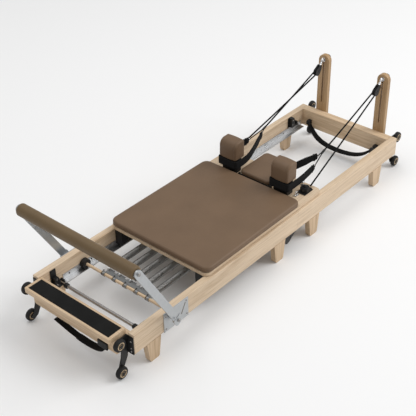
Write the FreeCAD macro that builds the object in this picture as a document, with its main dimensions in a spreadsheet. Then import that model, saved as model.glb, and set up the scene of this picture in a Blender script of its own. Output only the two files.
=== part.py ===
"""A folding wooden pilates reformer, modelled at its real size in millimetres.

X runs from the foot end to the head end, Y to the user's left and Z up. The origin is on the
floor, in the middle of the footprint. Lengths along X are written from the foot end of the
rails and moved back by frame_centre when a piece is placed.
"""
import FreeCAD, Part
import Sketcher

import math
import os

doc = FreeCAD.newDocument("reformer")

# ---------------------------------------------------------------- driving dimensions
SIZES = {
    "frame_centre": 1110,        # from the foot end of the rails to the middle of the footprint
    "frame_width": 680,          # over the outer faces of the rails
    "rail_thick": 38,
    "rail_height": 112,
    "rail_round": 4,
    "leg_height": 117,           # floor to underside of the rails
    "leg_thick": 31,
    "leg_top": 94,
    "leg_foot": 60,
    "joint_at": 1235,            # where the two half frames meet
    "joint_gap": 1,
    "frame_length": 2220,        # over the ends of the rails
    "beam_front": 52,            # how far the foot end beam stands before the rails
    "beam_back": 26,
    "beam_height": 96,
    "beam_width": 568,
    "platform_front": 98,
    "platform_depth": 106,
    "platform_width": 568,
    "platform_thick": 26,
    "mat_margin": 12,
    "mat_depth": 82,
    "mat_width": 536,
    "mat_thick": 3.5,
    "mat_sunk": 2.5,
    "tie_width": 50,
    "tie_thick": 20,
    "inner_leg": 154,            # from the joint to the middle of the nearest legs
    "end_board_thick": 54,
    "track_wall": 4,
    "track_ledge": 30,
    "track_height": 38,
    "track_lift": 2,             # track above the underside of the rail
    "foot_track_start": 150,
    "head_track_end": 2143,
    "riser_width": 74,
    "riser_thick": 31,
    "riser_top": 601,
    "riser_spacing": 410,
    "riser_slot": 9,
    "slot_low": 286,
    "slot_high": 580,
    "eye_height": 572,
    "sheave_ahead": 62,          # sheave axle before the outer face of the end board
    "sheave_height": 523,
    "sheave_radius": 12.5,
    "rope_thick": 9,
    "carriage_start": 512,
    "carriage_length": 952,
    "carriage_width": 652,
    "carriage_lift": 2,          # board above the top of the rails
    "board_thick": 18,
    "pad_length": 759,
    "pad_width": 660,
    "pad_thick": 34,
    "pad_corner": 42,
    "rest_front": 1274,
    "rest_depth": 82,
    "rest_width": 122,
    "rest_spacing": 354,
    "rest_height": 108,
    "rest_base_height": 88,
    "headrest_front": 1290,
    "headrest_length": 243,
    "headrest_width": 206,
    "headrest_thick": 31,
    "headrest_board": 12,
    "headrest_pin": 6,
    "roller_radius": 26,
    "roller_width": 20,
    "roller_pin": 8,
    "front_roller": 560,
    "rear_roller": 1380,
    "handle_at": 288,
    "handle_height": 152,
    "handle_thick": 16,
    "spring_height": 162,
    "spring_thick": 34,
    "spring_wall": 2.5,
    "spring_start": 348,
    "spring_end": 790,
    "spring_pitch": 75,
    "rod_at": 123,
    "rod_height": 131,
    "rod_thick": 18,
    "pivot_at": 243,
    "pivot_height": 184,
    "pivot_pin": 12,
    "grip_at": 13,
    "grip_height": 592,
    "grip_thick": 64,
    "grip_tube": 32,
    "arm_width": 40,
    "arm_thick": 8,
    "arm_stand_off": 32,         # arm before the side plate, on the pivot's spacer
    "shoe_width": 50,            # squared lower end of an arm
    "shoe_length": 46,
    "side_plate_start": 190,
    "side_plate_length": 167,
    "side_plate_thick": 4,
    "foot_wheel_reach": 63,
    "head_wheel_reach": 56,
    "wheel_radius": 32,
    "wheel_width": 24,
    "wheel_axle": 10,
    "upper_wheel_height": 200,
    "lower_wheel_height": 35,
    "wheel_spacing": 620,
    "bracket_thick": 6,
    "hinge_at": 1180,
    "hinge_height": 95,
    "hinge_pin": 10,
    "strap_width": 38,
    "strap_thick": 10,
    "running_gap": 0.05,         # radial clearance of a pin in its bore
}

sheet = doc.addObject("Spreadsheet::Sheet", "Sizes")
for row, (alias, value) in enumerate(SIZES.items(), start=1):
    sheet.set(f"A{row}", alias)
    sheet.set(f"B{row}", str(value))
    sheet.setAlias(f"B{row}", alias)
doc.recompute()


def size(alias):
    """A driving dimension, read back from the sheet."""
    return float(sheet.get(alias))


def bind(thing, **properties):
    """Bind properties to expressions in which every sheet alias is written bare."""
    for name, expression in properties.items():
        words = expression.split()
        bound = " ".join(f"Sizes.{word}" if word in SIZES else word for word in words)
        thing.setExpression(name.replace("__", "."), bound)


def place(thing, at_x="0", at_y="0", at_z="0"):
    """Place a piece by its distance from the foot end of the rails, from the middle and from the floor."""
    bind(
        thing,
        Placement__Base__x=f"{at_x} - frame_centre",
        Placement__Base__y=at_y,
        Placement__Base__z=at_z,
    )


# ---------------------------------------------------------------- ways of making a piece
nodes = []


def keep(piece, label):
    piece.Label = label
    nodes.append(piece)
    return piece


def new_body(name):
    body = doc.addObject("PartDesign::Body", name)
    return body


def origin_plane(body, role):
    return next(feature for feature in body.Origin.OriginFeatures if feature.Role == role)


def new_sketch(body, role, name):
    sketch = body.newObject("Sketcher::SketchObject", name)
    sketch.AttachmentSupport = [(origin_plane(body, role), "")]
    sketch.MapMode = "FlatFace"
    return sketch


def hold(sketch, kind, places, name, expression):
    """Add a named dimension to a sketch and bind it to the sheet."""
    index = sketch.addConstraint(Sketcher.Constraint(kind, *places, 1.0))
    sketch.renameConstraint(index, name)
    bind(sketch, **{f"Constraints__{name}": expression})


def close_loop(sketch, corners):
    """Draw straight edges through the corners and join their ends; returns the edges' numbers."""
    edges = []
    for first, second in zip(corners, corners[1:] + corners[:1]):
        line = Part.LineSegment(FreeCAD.Vector(*first, 0), FreeCAD.Vector(*second, 0))
        edges.append(sketch.addGeometry(line, False))
    for edge, after in zip(edges, edges[1:] + edges[:1]):
        sketch.addConstraint(Sketcher.Constraint("Coincident", edge, 2, after, 1))
    return edges


def draw_rectangle(sketch, wide, high, left=None, low=None):
    """A rectangle bound to the sheet: centred across unless left is given, and standing on low."""
    bottom, right, top, side = close_loop(sketch, [(-10, 1), (10, 1), (10, 21), (-10, 21)])
    sketch.addConstraint(Sketcher.Constraint("Horizontal", top))
    sketch.addConstraint(Sketcher.Constraint("Vertical", right))
    if left is None:
        sketch.addConstraint(Sketcher.Constraint("Symmetric", bottom, 1, bottom, 2, -2))
    else:
        sketch.addConstraint(Sketcher.Constraint("Horizontal", bottom))
    if low is None:
        sketch.addConstraint(Sketcher.Constraint("Symmetric", bottom, 1, side, 1, -1))
    else:
        sketch.addConstraint(Sketcher.Constraint("Vertical", side))
    hold(sketch, "DistanceX", (bottom, 1, bottom, 2), "wide", wide)
    hold(sketch, "DistanceY", (right, 1, right, 2), "high", high)
    if left == "0":
        sketch.addConstraint(Sketcher.Constraint("PointOnObject", bottom, 1, -2))
    elif left is not None:
        hold(sketch, "DistanceX", (-1, 1, bottom, 1), "left", left)
    if low is not None:
        hold(sketch, "DistanceY", (-1, 1, bottom, 1), "low", low)


def pad(body, sketch, length, middle=False, backwards=False):
    feature = body.newObject("PartDesign::Pad", "Pad")
    feature.Profile = sketch
    feature.SideType = "Symmetric" if middle else "One side"
    feature.Reversed = backwards
    bind(feature, Length=length)
    sketch.Visibility = False
    doc.recompute()
    return feature


def pocket(body, sketch, depth=None, backwards=False):
    """Cut a sketch out of the body: to a depth, or right through both ways."""
    doc.recompute()
    before = body.Tip.Shape.Volume
    feature = body.newObject("PartDesign::Pocket", "Pocket")
    feature.Profile = sketch
    if depth is None:
        feature.Type = "ThroughAll"
        feature.SideType = "Symmetric"
    else:
        bind(feature, Length=depth)
    feature.Reversed = backwards
    doc.recompute()
    if not feature.Shape.Volume < before - 1:
        raise RuntimeError(f"{body.Label}: the pocket cuts nothing")
    return feature


def round_edges(body, base, radius, wanted):
    """Round the edges of a body for which wanted(edge) is true."""
    names = [f"Edge{number}" for number, edge in enumerate(base.Shape.Edges, start=1) if wanted(edge)]
    feature = body.newObject("PartDesign::Fillet", "Round")
    feature.Base = (base, names)
    bind(feature, Radius=radius)
    doc.recompute()
    return feature


def runs_along(edge, axis):
    """Whether an edge is straight and runs along an axis."""
    if edge.Curve.TypeId != "Part::GeomLine":
        return False
    return abs(edge.Curve.Direction.dot(axis)) > 0.999


AXIS_X = FreeCAD.Vector(1, 0, 0)
AXIS_Y = FreeCAD.Vector(0, 1, 0)
AXIS_Z = FreeCAD.Vector(0, 0, 1)
SIDES = {"left": 1, "right": -1}


def vector(x, y, z):
    return FreeCAD.Vector(x, y, z)


def box(low, high):
    """A block between two corners."""
    return Part.makeBox(high[0] - low[0], high[1] - low[1], high[2] - low[2], vector(*low))


def bar(radius, start, end):
    """A round bar from one point to another."""
    along = vector(*end) - vector(*start)
    return Part.makeCylinder(radius, along.Length, vector(*start), along)


def outline(points, arcs=()):
    """A closed wire in the XZ plane through (x, z) points; arcs gives the middle point of the edge
    that leaves each numbered point, where that edge is round."""
    arcs = dict(arcs)
    edges = []
    for number, point in enumerate(points):
        after = points[(number + 1) % len(points)]
        start, end = vector(point[0], 0, point[1]), vector(after[0], 0, after[1])
        if number in arcs:
            middle = vector(arcs[number][0], 0, arcs[number][1])
            edges.append(Part.Arc(start, middle, end).toShape())
        else:
            edges.append(Part.LineSegment(start, end).toShape())
    return Part.Wire(edges)


def plate(wire, low_y, high_y):
    """A plate of an outline in the XZ plane, between two places along Y."""
    face = Part.Face(wire)
    face.translate(vector(0, low_y, 0))
    return face.extrude(vector(0, high_y - low_y, 0))


def mirrored(shape):
    return shape.mirror(vector(0, 0, 0), AXIS_Y)


def both_sides(shape):
    """A shape and its mirror image as two separate solids."""
    return Part.makeCompound([shape, mirrored(shape)])


def made(label, shape):
    """Keep a shape worked out from the sheet's values, written from the foot end of the rails."""
    piece = doc.addObject("Part::Feature", label)
    piece.Shape = shape
    moved = FreeCAD.Placement(vector(-size("frame_centre"), 0, 0), FreeCAD.Rotation())
    piece.Placement = moved.multiply(shape.Placement)
    return keep(piece, label)


def group(label, members):
    """Identical pieces in one node, as separate solids."""
    piece = doc.addObject("Part::Compound", label)
    piece.Links = members
    return keep(piece, label)


# ---------------------------------------------------------------- places worked out from the sizes
OUTER = size("frame_width") / 2
INNER = OUTER - size("rail_thick")
RAIL_LOW = size("leg_height")
RAIL_TOP = RAIL_LOW + size("rail_height")
TRACK_FACE = INNER - size("track_wall")
LEDGE_TOP = RAIL_LOW + size("track_lift") + size("track_wall")
BOARD_LOW = RAIL_TOP + size("carriage_lift")
BOARD_TOP = BOARD_LOW + size("board_thick")
END_FACE = size("frame_length")
ARM_INSIDE = OUTER + size("side_plate_thick") + size("arm_stand_off")
SHOE_OUTSIDE = ARM_INSIDE + size("arm_thick") + 2


# ---------------------------------------------------------------- wooden half frames
def rail(label, side, start, length, round_end):
    """A long side board of a half frame; round_end is the X of the end with soft corners."""
    body = new_body(label)
    sketch = new_sketch(body, "YZ_Plane", "Section")
    draw_rectangle(sketch, "rail_thick", "rail_height")
    board = pad(body, sketch, length)
    board = round_edges(body, board, "rail_round", lambda edge: runs_along(edge, AXIS_X))
    sign = "" if side > 0 else "-"
    place(
        body,
        start,
        f"{sign} ( frame_width - rail_thick ) / 2",
        "leg_height + rail_height / 2",
    )
    near_end = [number for number, edge in enumerate(board.Shape.Edges, start=1)
                if abs(edge.CenterOfMass.x - round_end) < 0.01]
    feature = body.newObject("PartDesign::Fillet", "SoftEnd")
    feature.Base = (board, [f"Edge{number}" for number in near_end])
    bind(feature, Radius="rail_round * 0.8")
    doc.recompute()
    return keep(body, label)


def rails():
    head_length = END_FACE - size("joint_at") - size("joint_gap") / 2
    for name, side in SIDES.items():
        rail(f"foot_rail_{name}", side, "0", "joint_at - joint_gap / 2", 0)
    for name, side in SIDES.items():
        rail(
            f"head_rail_{name}",
            side,
            "joint_at + joint_gap / 2",
            "frame_length - joint_at - joint_gap / 2",
            head_length,
        )


def leg(name, side, at):
    """A leg that narrows to a rounded foot, under a rail and flush with its outer face."""
    body = new_body(name)
    sketch = new_sketch(body, "XZ_Plane", "Side")
    top, foot, height = size("leg_top") / 2, size("leg_foot") / 2, size("leg_height")
    corners = [(-foot, 0), (foot, 0), (top, height), (-top, height)]
    bottom, right, upper, left = close_loop(sketch, corners)
    sketch.addConstraint(Sketcher.Constraint("Symmetric", bottom, 1, bottom, 2, -2))
    sketch.addConstraint(Sketcher.Constraint("Symmetric", upper, 2, upper, 1, -2))
    sketch.addConstraint(Sketcher.Constraint("PointOnObject", bottom, 1, -1))
    hold(sketch, "DistanceX", (bottom, 1, bottom, 2), "foot", "leg_foot")
    hold(sketch, "DistanceX", (upper, 2, upper, 1), "top", "leg_top")
    hold(sketch, "DistanceY", (right, 1, right, 2), "tall", "leg_height")
    block = pad(body, sketch, "leg_thick", middle=True)
    on_floor = [
        f"Edge{number}" for number, edge in enumerate(block.Shape.Edges, start=1)
        if runs_along(edge, AXIS_Y) and edge.CenterOfMass.z < 1
    ]
    feature = body.newObject("PartDesign::Fillet", "Toe")
    feature.Base = (block, on_floor)
    bind(feature, Radius="rail_round * 3")
    doc.recompute()
    sign = "" if side > 0 else "-"
    place(body, at, f"{sign} ( frame_width - leg_thick ) / 2", "0")
    return body


def legs():
    places = {
        "foot_legs": ("124", "joint_at - inner_leg"),
        "head_legs": ("joint_at + inner_leg", "frame_length - 197"),
    }
    for label, ends in places.items():
        members = [
            leg(f"{label}_{number}_{name}", side, at)
            for number, at in enumerate(ends, start=1)
            for name, side in SIDES.items()
        ]
        group(label, members)


def foot_end_beam():
    """The foot end beam: it stands before the rails and its wider back half fits between them."""
    front, back = -size("beam_front"), size("beam_back")
    half, top = size("beam_width") / 2, RAIL_LOW + size("beam_height")
    corner = 14
    wire = Part.makePolygon([
        vector(front, -half, RAIL_LOW), vector(front, -half, top), vector(front, half, top),
        vector(front, half, RAIL_LOW), vector(front, -half, RAIL_LOW),
    ])
    face_beam = Part.Face(wire).extrude(vector(-front, 0, 0))
    low_corners = [edge for edge in face_beam.Edges
                   if runs_along(edge, AXIS_X) and edge.CenterOfMass.z < RAIL_LOW + 1]
    face_beam = face_beam.makeFillet(corner, low_corners)
    tie = box((0, -INNER, RAIL_LOW), (back, INNER, top))
    made("foot_end_beam", face_beam.fuse(tie).removeSplitter())


def leg_ties():
    """Flat ties under the rails, one between each pair of legs beside the joint."""
    middles = {"foot_leg_tie": "joint_at - inner_leg", "head_leg_tie": "joint_at + inner_leg"}
    for label, middle in middles.items():
        tie = doc.addObject("Part::Box", label)
        bind(tie, Length="tie_width", Width="frame_width - 2 * leg_thick", Height="tie_thick")
        place(
            tie,
            f"{middle} - tie_width / 2",
            "leg_thick - frame_width / 2",
            "leg_height - tie_thick",
        )
        keep(tie, label)


def head_end_board():
    body = new_body("head_end_board")
    sketch = new_sketch(body, "YZ_Plane", "Section")
    draw_rectangle(sketch, "frame_width - 2 * rail_thick", "rail_height")
    board = pad(body, sketch, "end_board_thick")
    round_edges(body, board, "rail_round", lambda edge: runs_along(edge, AXIS_Y))
    place(body, "frame_length - end_board_thick", "0", "leg_height + rail_height / 2")
    keep(body, "head_end_board")


def platform():
    """The standing platform over the foot end beam, with a sunk mat."""
    body = new_body("platform_board")
    sketch = new_sketch(body, "XY_Plane", "Plan")
    draw_rectangle(sketch, "platform_depth", "platform_width", left="0")
    board = pad(body, sketch, "platform_thick")
    board = round_edges(body, board, "rail_round * 1.5", lambda edge: runs_along(edge, AXIS_Z))
    recess = body.newObject("Sketcher::SketchObject", "Recess")
    recess.AttachmentSupport = [(origin_plane(body, "XY_Plane"), "")]
    recess.MapMode = "FlatFace"
    bind(recess, AttachmentOffset__Base__z="platform_thick")
    draw_rectangle(recess, "mat_depth", "mat_width", left="mat_margin")
    pocket(body, recess, "mat_sunk")
    place(body, "- platform_front", "0", "leg_height + beam_height")
    keep(body, "platform_board")

    mat = doc.addObject("Part::Box", "platform_mat")
    bind(mat, Length="mat_depth - 0.4", Width="mat_width - 0.4", Height="mat_thick")
    place(
        mat,
        "mat_margin + 0.2 - platform_front",
        "- mat_width / 2 + 0.2",
        "leg_height + beam_height + platform_thick - mat_sunk",
    )
    keep(mat, "platform_mat")


def track(name, side, start, length):
    """An aluminium angle along a rail: the rollers run on its ledge."""
    body = new_body(name)
    sketch = new_sketch(body, "YZ_Plane", "Section")
    wall, ledge, height = size("track_wall"), size("track_ledge"), size("track_height")
    corners = [(0, 0), (ledge, 0), (ledge, height), (ledge - wall, height), (ledge - wall, wall), (0, wall)]
    if side < 0:
        corners = [(-across, up) for across, up in reversed(corners)]
    edges = close_loop(sketch, corners)
    for number, edge in enumerate(edges):
        first, second = corners[number], corners[(number + 1) % len(corners)]
        level = "Horizontal" if first[1] == second[1] else "Vertical"
        sketch.addConstraint(Sketcher.Constraint(level, edge))
    pad(body, sketch, length)
    sign = "" if side > 0 else "-"
    place(
        body,
        start,
        f"{sign} ( frame_width / 2 - rail_thick - track_ledge )",
        "leg_height + track_lift",
    )
    return body


def tracks():
    spans = {
        "foot_tracks": ("foot_track_start", "joint_at - joint_gap - foot_track_start"),
        "head_tracks": ("joint_at + joint_gap", "head_track_end - joint_at - joint_gap"),
    }
    for label, (start, length) in spans.items():
        group(label, [track(f"{label}_{name}", side, start, length) for name, side in SIDES.items()])


# ---------------------------------------------------------------- rod, hooks and spring bar
def rod_hooks():
    """Hook brackets on the rails' inner faces, open at the top; the gear rod lies in the foot pair."""
    reach = 26
    throat = size("rod_thick") / 2 + 0.4
    stations = {
        "foot_rod_hooks": (size("rod_at"), size("rod_height")),
        "head_rod_hooks": (2060, 176),
    }
    for label, (at, height) in stations.items():
        base = height - throat - 4
        points = [
            (at - 42, base), (at + throat + 9, base), (at + throat + 9, height + 12),
            (at + throat, height + 12), (at + throat, height), (at - throat, height),
            (at - throat, height + 22), (at - 18, base + 62), (at - 42, base + 62),
        ]
        hook = plate(outline(points, {4: (at, height - throat)}), INNER - reach, INNER)
        tab = box((at - 50, INNER - 5, base), (at - 16, INNER, min(base + 104, RAIL_TOP - 6)))
        made(label, both_sides(hook.fuse(tab).removeSplitter()))


def gear_rod():
    rod = doc.addObject("Part::Cylinder", "gear_rod")
    bind(rod, Radius="rod_thick / 2", Height="frame_width - 2 * rail_thick - 24")
    rod.Placement = FreeCAD.Placement(vector(0, 0, 0), FreeCAD.Rotation(AXIS_X, 90))
    place(rod, "rod_at", "frame_width / 2 - rail_thick - 12", "rod_height")
    keep(rod, "gear_rod")


def spring_bar():
    """The wooden handle, the notched plate clipped on it and the round holders at its ends."""
    at, height = size("handle_at"), size("handle_height")
    holder_inside = TRACK_FACE - 24
    handle = doc.addObject("Part::Cylinder", "spring_bar_handle")
    bind(
        handle,
        Radius="handle_thick / 2",
        Height="frame_width - 2 * rail_thick - 2 * track_wall - 48",
    )
    handle.Placement = FreeCAD.Placement(vector(0, 0, 0), FreeCAD.Rotation(AXIS_X, 90))
    place(handle, "handle_at", "frame_width / 2 - rail_thick - track_wall - 24", "handle_height")
    keep(handle, "spring_bar_handle")

    holder = bar(26, (at, holder_inside, height), (at, TRACK_FACE, height))
    made("spring_bar_holders", both_sides(holder))

    pitch, half = size("spring_pitch"), 158
    front, back, low = at + 11, at + 47, height - 2
    plate_shape = box((front, -half, low), (back, half, low + 4))
    grip = size("handle_thick") / 2
    for number in range(-2, 3):
        middle = number * pitch
        ring = bar(grip + 4, (at, middle - 7, height), (at, middle + 7, height))
        plate_shape = plate_shape.fuse(ring)
    plate_shape = plate_shape.cut(bar(grip, (at, -half, height), (at, half, height)))
    for number in range(-2, 3):
        middle = number * pitch
        slot = box((back - 16, middle - 4, low - 1), (back - 6, middle + 4, low + 5))
        plate_shape = plate_shape.cut(slot)
    for number in range(-2, 2):
        notch = bar(11, (back, (number + 0.5) * pitch, low - 1), (back, (number + 0.5) * pitch, low + 5))
        plate_shape = plate_shape.cut(notch)
    made("spring_bar_plate", plate_shape.removeSplitter())


def springs():
    """Five coil springs as tubes of their outer size, each with a hook wire at both ends."""
    start, end, height = size("spring_start"), size("spring_end"), size("spring_height")
    outside = size("spring_thick") / 2
    inside = outside - size("spring_wall")
    wire = 2.5
    hook_at = size("handle_at") + 47 - 11
    anchor_face = end + 25.5
    coils = []
    for number in range(-2, 3):
        across = number * size("spring_pitch")
        tube = bar(outside, (start, across, height), (end, across, height))
        tube = tube.cut(bar(inside, (start + 3, across, height), (end - 3, across, height)))
        tube = tube.cut(bar(3, (end - 4, across, height - 8), (end + 1, across, height - 8)))
        front_wire = bar(wire, (hook_at, across, height), (start + 1, across, height))
        drop_end = size("handle_height") - 8
        drop = bar(wire + 0.5, (hook_at, across, height + wire + 1), (hook_at, across, drop_end))
        back_wire = bar(wire, (end - 1, across, height), (anchor_face, across, height))
        coils.append(tube.fuse([front_wire, drop, back_wire]).removeSplitter())
    made("springs", Part.makeCompound(coils))


# ---------------------------------------------------------------- footbar
def footbar_side_plates():
    """Steel plates on the rails' outer faces, with a pivot pin and an inclined slot."""
    start, length = size("side_plate_start"), size("side_plate_length")
    face, back = OUTER, OUTER + size("side_plate_thick")
    at, height = size("pivot_at"), size("pivot_height")
    plate_shape = box((start, face, RAIL_LOW), (start + length, back, RAIL_TOP - 2))
    slot_ends = ((308, 155), (336, 205))
    slot_half = 3
    for end in slot_ends:
        plate_shape = plate_shape.cut(bar(slot_half, (end[0], face - 1, end[1]), (end[0], back + 1, end[1])))
    (low_x, low_z), (high_x, high_z) = slot_ends
    run = math.hypot(high_x - low_x, high_z - low_z)
    aside_x, aside_z = slot_half * (high_z - low_z) / run, -slot_half * (high_x - low_x) / run
    middle_part = plate(
        outline([
            (low_x + aside_x, low_z + aside_z), (high_x + aside_x, high_z + aside_z),
            (high_x - aside_x, high_z - aside_z), (low_x - aside_x, low_z - aside_z),
        ]),
        face - 1,
        back + 1,
    )
    plate_shape = plate_shape.cut(middle_part)
    pin = bar(size("pivot_pin") / 2, (at, back - 1, height), (at, SHOE_OUTSIDE + 1, height))
    spacer = bar(13, (at, back - 1, height), (at, ARM_INSIDE - 0.3, height))
    cap = bar(9, (at, SHOE_OUTSIDE + 0.5, height), (at, SHOE_OUTSIDE + 3, height))
    made("footbar_side_plates", both_sides(plate_shape.fuse([pin, spacer, cap]).removeSplitter()))


def footbar():
    """The welded frame of two flat arms and a tube, and the padded sleeve on the tube."""
    at, height = size("pivot_at"), size("pivot_height")
    top_x, top_z = size("grip_at"), size("grip_height")
    half = size("arm_width") / 2
    inside, outside = ARM_INSIDE, ARM_INSIDE + size("arm_thick")
    run = math.hypot(top_x - at, top_z - height)
    along = ((top_x - at) / run, (top_z - height) / run)

    def beside(distance, across):
        """A place on the arm: a distance up from the pivot and a distance aside, to the foot end."""
        return (
            at + along[0] * distance - along[1] * across,
            height + along[1] * distance + along[0] * across,
        )

    blade = plate(
        outline(
            [beside(0, half), beside(run, half), beside(run, -half), beside(0, -half)],
            {1: beside(run + half, 0)},
        ),
        inside,
        outside,
    )
    shoe_half, shoe = size("shoe_width") / 2, size("shoe_length") / 2
    corner = 6
    shoe_block = plate(
        outline([
            beside(-shoe, shoe_half - corner), beside(corner - shoe, shoe_half),
            beside(shoe - corner, shoe_half), beside(shoe, half),
            beside(shoe, -half), beside(shoe - corner, -shoe_half),
            beside(corner - shoe, -shoe_half), beside(-shoe, corner - shoe_half),
        ]),
        inside,
        SHOE_OUTSIDE,
    )
    bore = size("pivot_pin") / 2 + size("running_gap")
    arm = blade.fuse(shoe_block).cut(bar(bore, (at, inside - 1, height), (at, SHOE_OUTSIDE + 1, height)))
    bolt_head = bar(8, (top_x, outside - 1, top_z), (top_x, outside + 4, top_z))
    latch_x, latch_z = beside(shoe + 12, 7)
    latch = bar(6, (latch_x, outside - 1, latch_z), (latch_x, outside + 4, latch_z))
    tube = bar(size("grip_tube") / 2, (top_x, -inside - 1, top_z), (top_x, inside + 1, top_z))
    frame = tube.fuse([arm, bolt_head, latch, mirrored(arm), mirrored(bolt_head), mirrored(latch)])
    made("footbar_frame", frame.removeSplitter())

    sleeve = bar(size("grip_thick") / 2, (top_x, 3 - inside, top_z), (top_x, inside - 3, top_z))
    core = bar(size("grip_tube") / 2, (top_x, -inside, top_z), (top_x, inside, top_z))
    made("footbar_roll", sleeve.cut(core))


# ---------------------------------------------------------------- end wheels
def wheel_bracket(end_x, outward, reach):
    """A black bracket on a rail's end: a plate with a curved arm that carries two axles."""
    thick = 4
    arm_low, arm_high = size("wheel_spacing") / 2 - 20, size("wheel_spacing") / 2 - 20 + size("bracket_thick")
    high, low = size("upper_wheel_height"), size("lower_wheel_height")
    axle = size("wheel_axle") / 2
    far = end_x + outward * reach

    def at(distance):
        return end_x + outward * distance

    mount = box(
        (min(end_x, at(thick)), arm_low, RAIL_LOW - 4),
        (max(end_x, at(thick)), OUTER - 4, RAIL_TOP - 14),
    )
    hub = 13
    arm_points = [
        (at(0), high + hub), (far, high + hub), (far, high - hub), (at(reach * 0.76), high - hub),
        (at(reach * 0.62), 140), (at(reach * 0.72), 96), (far, low + hub), (far, low - hub),
        (at(reach * 0.6), low - hub + 6), (at(reach * 0.06), 92), (at(0), 130),
    ]
    arm_rounds = {
        1: (far + outward * hub, high),
        6: (far + outward * hub, low),
    }
    arm = plate(outline(arm_points, arm_rounds), arm_low, arm_high)
    wheel_out = size("wheel_spacing") / 2 + size("wheel_width") / 2
    pieces = [arm]
    for height in (high, low):
        pieces.append(bar(axle, (far, arm_high - 1, height), (far, wheel_out + 2, height)))
        pieces.append(bar(axle + 3, (far, arm_high - 1, height), (far, arm_high + 1.6, height)))
        pieces.append(bar(axle + 3, (far, wheel_out + 0.6, height), (far, wheel_out + 4, height)))
    return mount.fuse(pieces).removeSplitter()


def wheel(at_x, height):
    """A solid wheel with a rounded tread and a dished hub, bored for its axle."""
    middle, half = size("wheel_spacing") / 2, size("wheel_width") / 2
    outside, bore = size("wheel_radius"), size("wheel_axle") / 2 + size("running_gap")
    rim, dish = 22, 4
    tread = 6
    start = middle - half
    end = middle + half
    points = [
        vector(bore, start + dish - 2, 0), vector(rim - 8, start + dish, 0), vector(rim, start, 0),
        vector(outside - tread, start, 0), vector(outside, start + tread, 0),
        vector(outside, end - tread, 0), vector(outside - tread, end, 0), vector(rim, end, 0),
        vector(rim - 8, end - dish, 0), vector(bore, end - dish + 2, 0),
    ]
    face = Part.Face(Part.makePolygon(points + points[:1]))
    turned = face.revolve(vector(0, 0, 0), AXIS_Y, 360)
    turned.translate(vector(at_x, 0, height))
    return turned


def end_wheels():
    ends = {
        "foot": (0, -1, size("foot_wheel_reach")),
        "head": (END_FACE, 1, size("head_wheel_reach")),
    }
    for end, (end_x, outward, reach) in ends.items():
        made(f"{end}_castor_brackets", both_sides(wheel_bracket(end_x, outward, reach)))
        for level in ("upper", "lower"):
            shape = wheel(end_x + outward * reach, size(f"{level}_wheel_height"))
            for name, side in SIDES.items():
                made(f"{end}_{level}_wheel_{name}", shape if side > 0 else mirrored(shape))


# ---------------------------------------------------------------- fold hinge
def fold_hinges():
    """Drop hinges below the joint: a cast foot leaf with its pin, and a head leaf that turns on it."""
    at, height, pin = size("hinge_at"), size("hinge_height"), size("hinge_pin") / 2
    joint = size("joint_at")
    leaf_low, leaf_high = INNER + 10, OUTER - 4
    points = [
        (at - 50, RAIL_LOW), (at - 50, height - 4), (at - 28, height - 26), (at - 12, height - 22),
        (joint - 6, RAIL_LOW),
    ]
    cast = plate(outline(points, {1: (at - 44, height - 20)}), leaf_low, leaf_high)
    boss = bar(11, (at, leaf_low, height), (at, leaf_high, height))
    head_low = INNER + 1
    shaft = bar(pin, (at, head_low - 4, height), (at, leaf_high + 2, height))
    made("foot_hinge_leaves", both_sides(cast.fuse([boss, shaft]).removeSplitter()))

    thick = 5
    top = RAIL_LOW - 5
    leaf_end = joint + 70
    points = [
        (at, height - 14), (leaf_end - 20, height - 14), (leaf_end, height), (leaf_end, RAIL_LOW),
        (joint + 3, RAIL_LOW), (joint + 3, top), (at, top - 3),
    ]
    leaf = plate(outline(points, {6: (at - 14, height)}), head_low, head_low + thick)
    flange = box((joint + 3, head_low, RAIL_LOW - 4), (leaf_end, head_low + 20, RAIL_LOW))
    leaf = leaf.fuse(flange)
    leaf = leaf.cut(bar(pin + size("running_gap"), (at, head_low - 5, height), (at, leaf_high, height)))
    made("head_hinge_leaves", both_sides(leaf.removeSplitter()))


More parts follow.
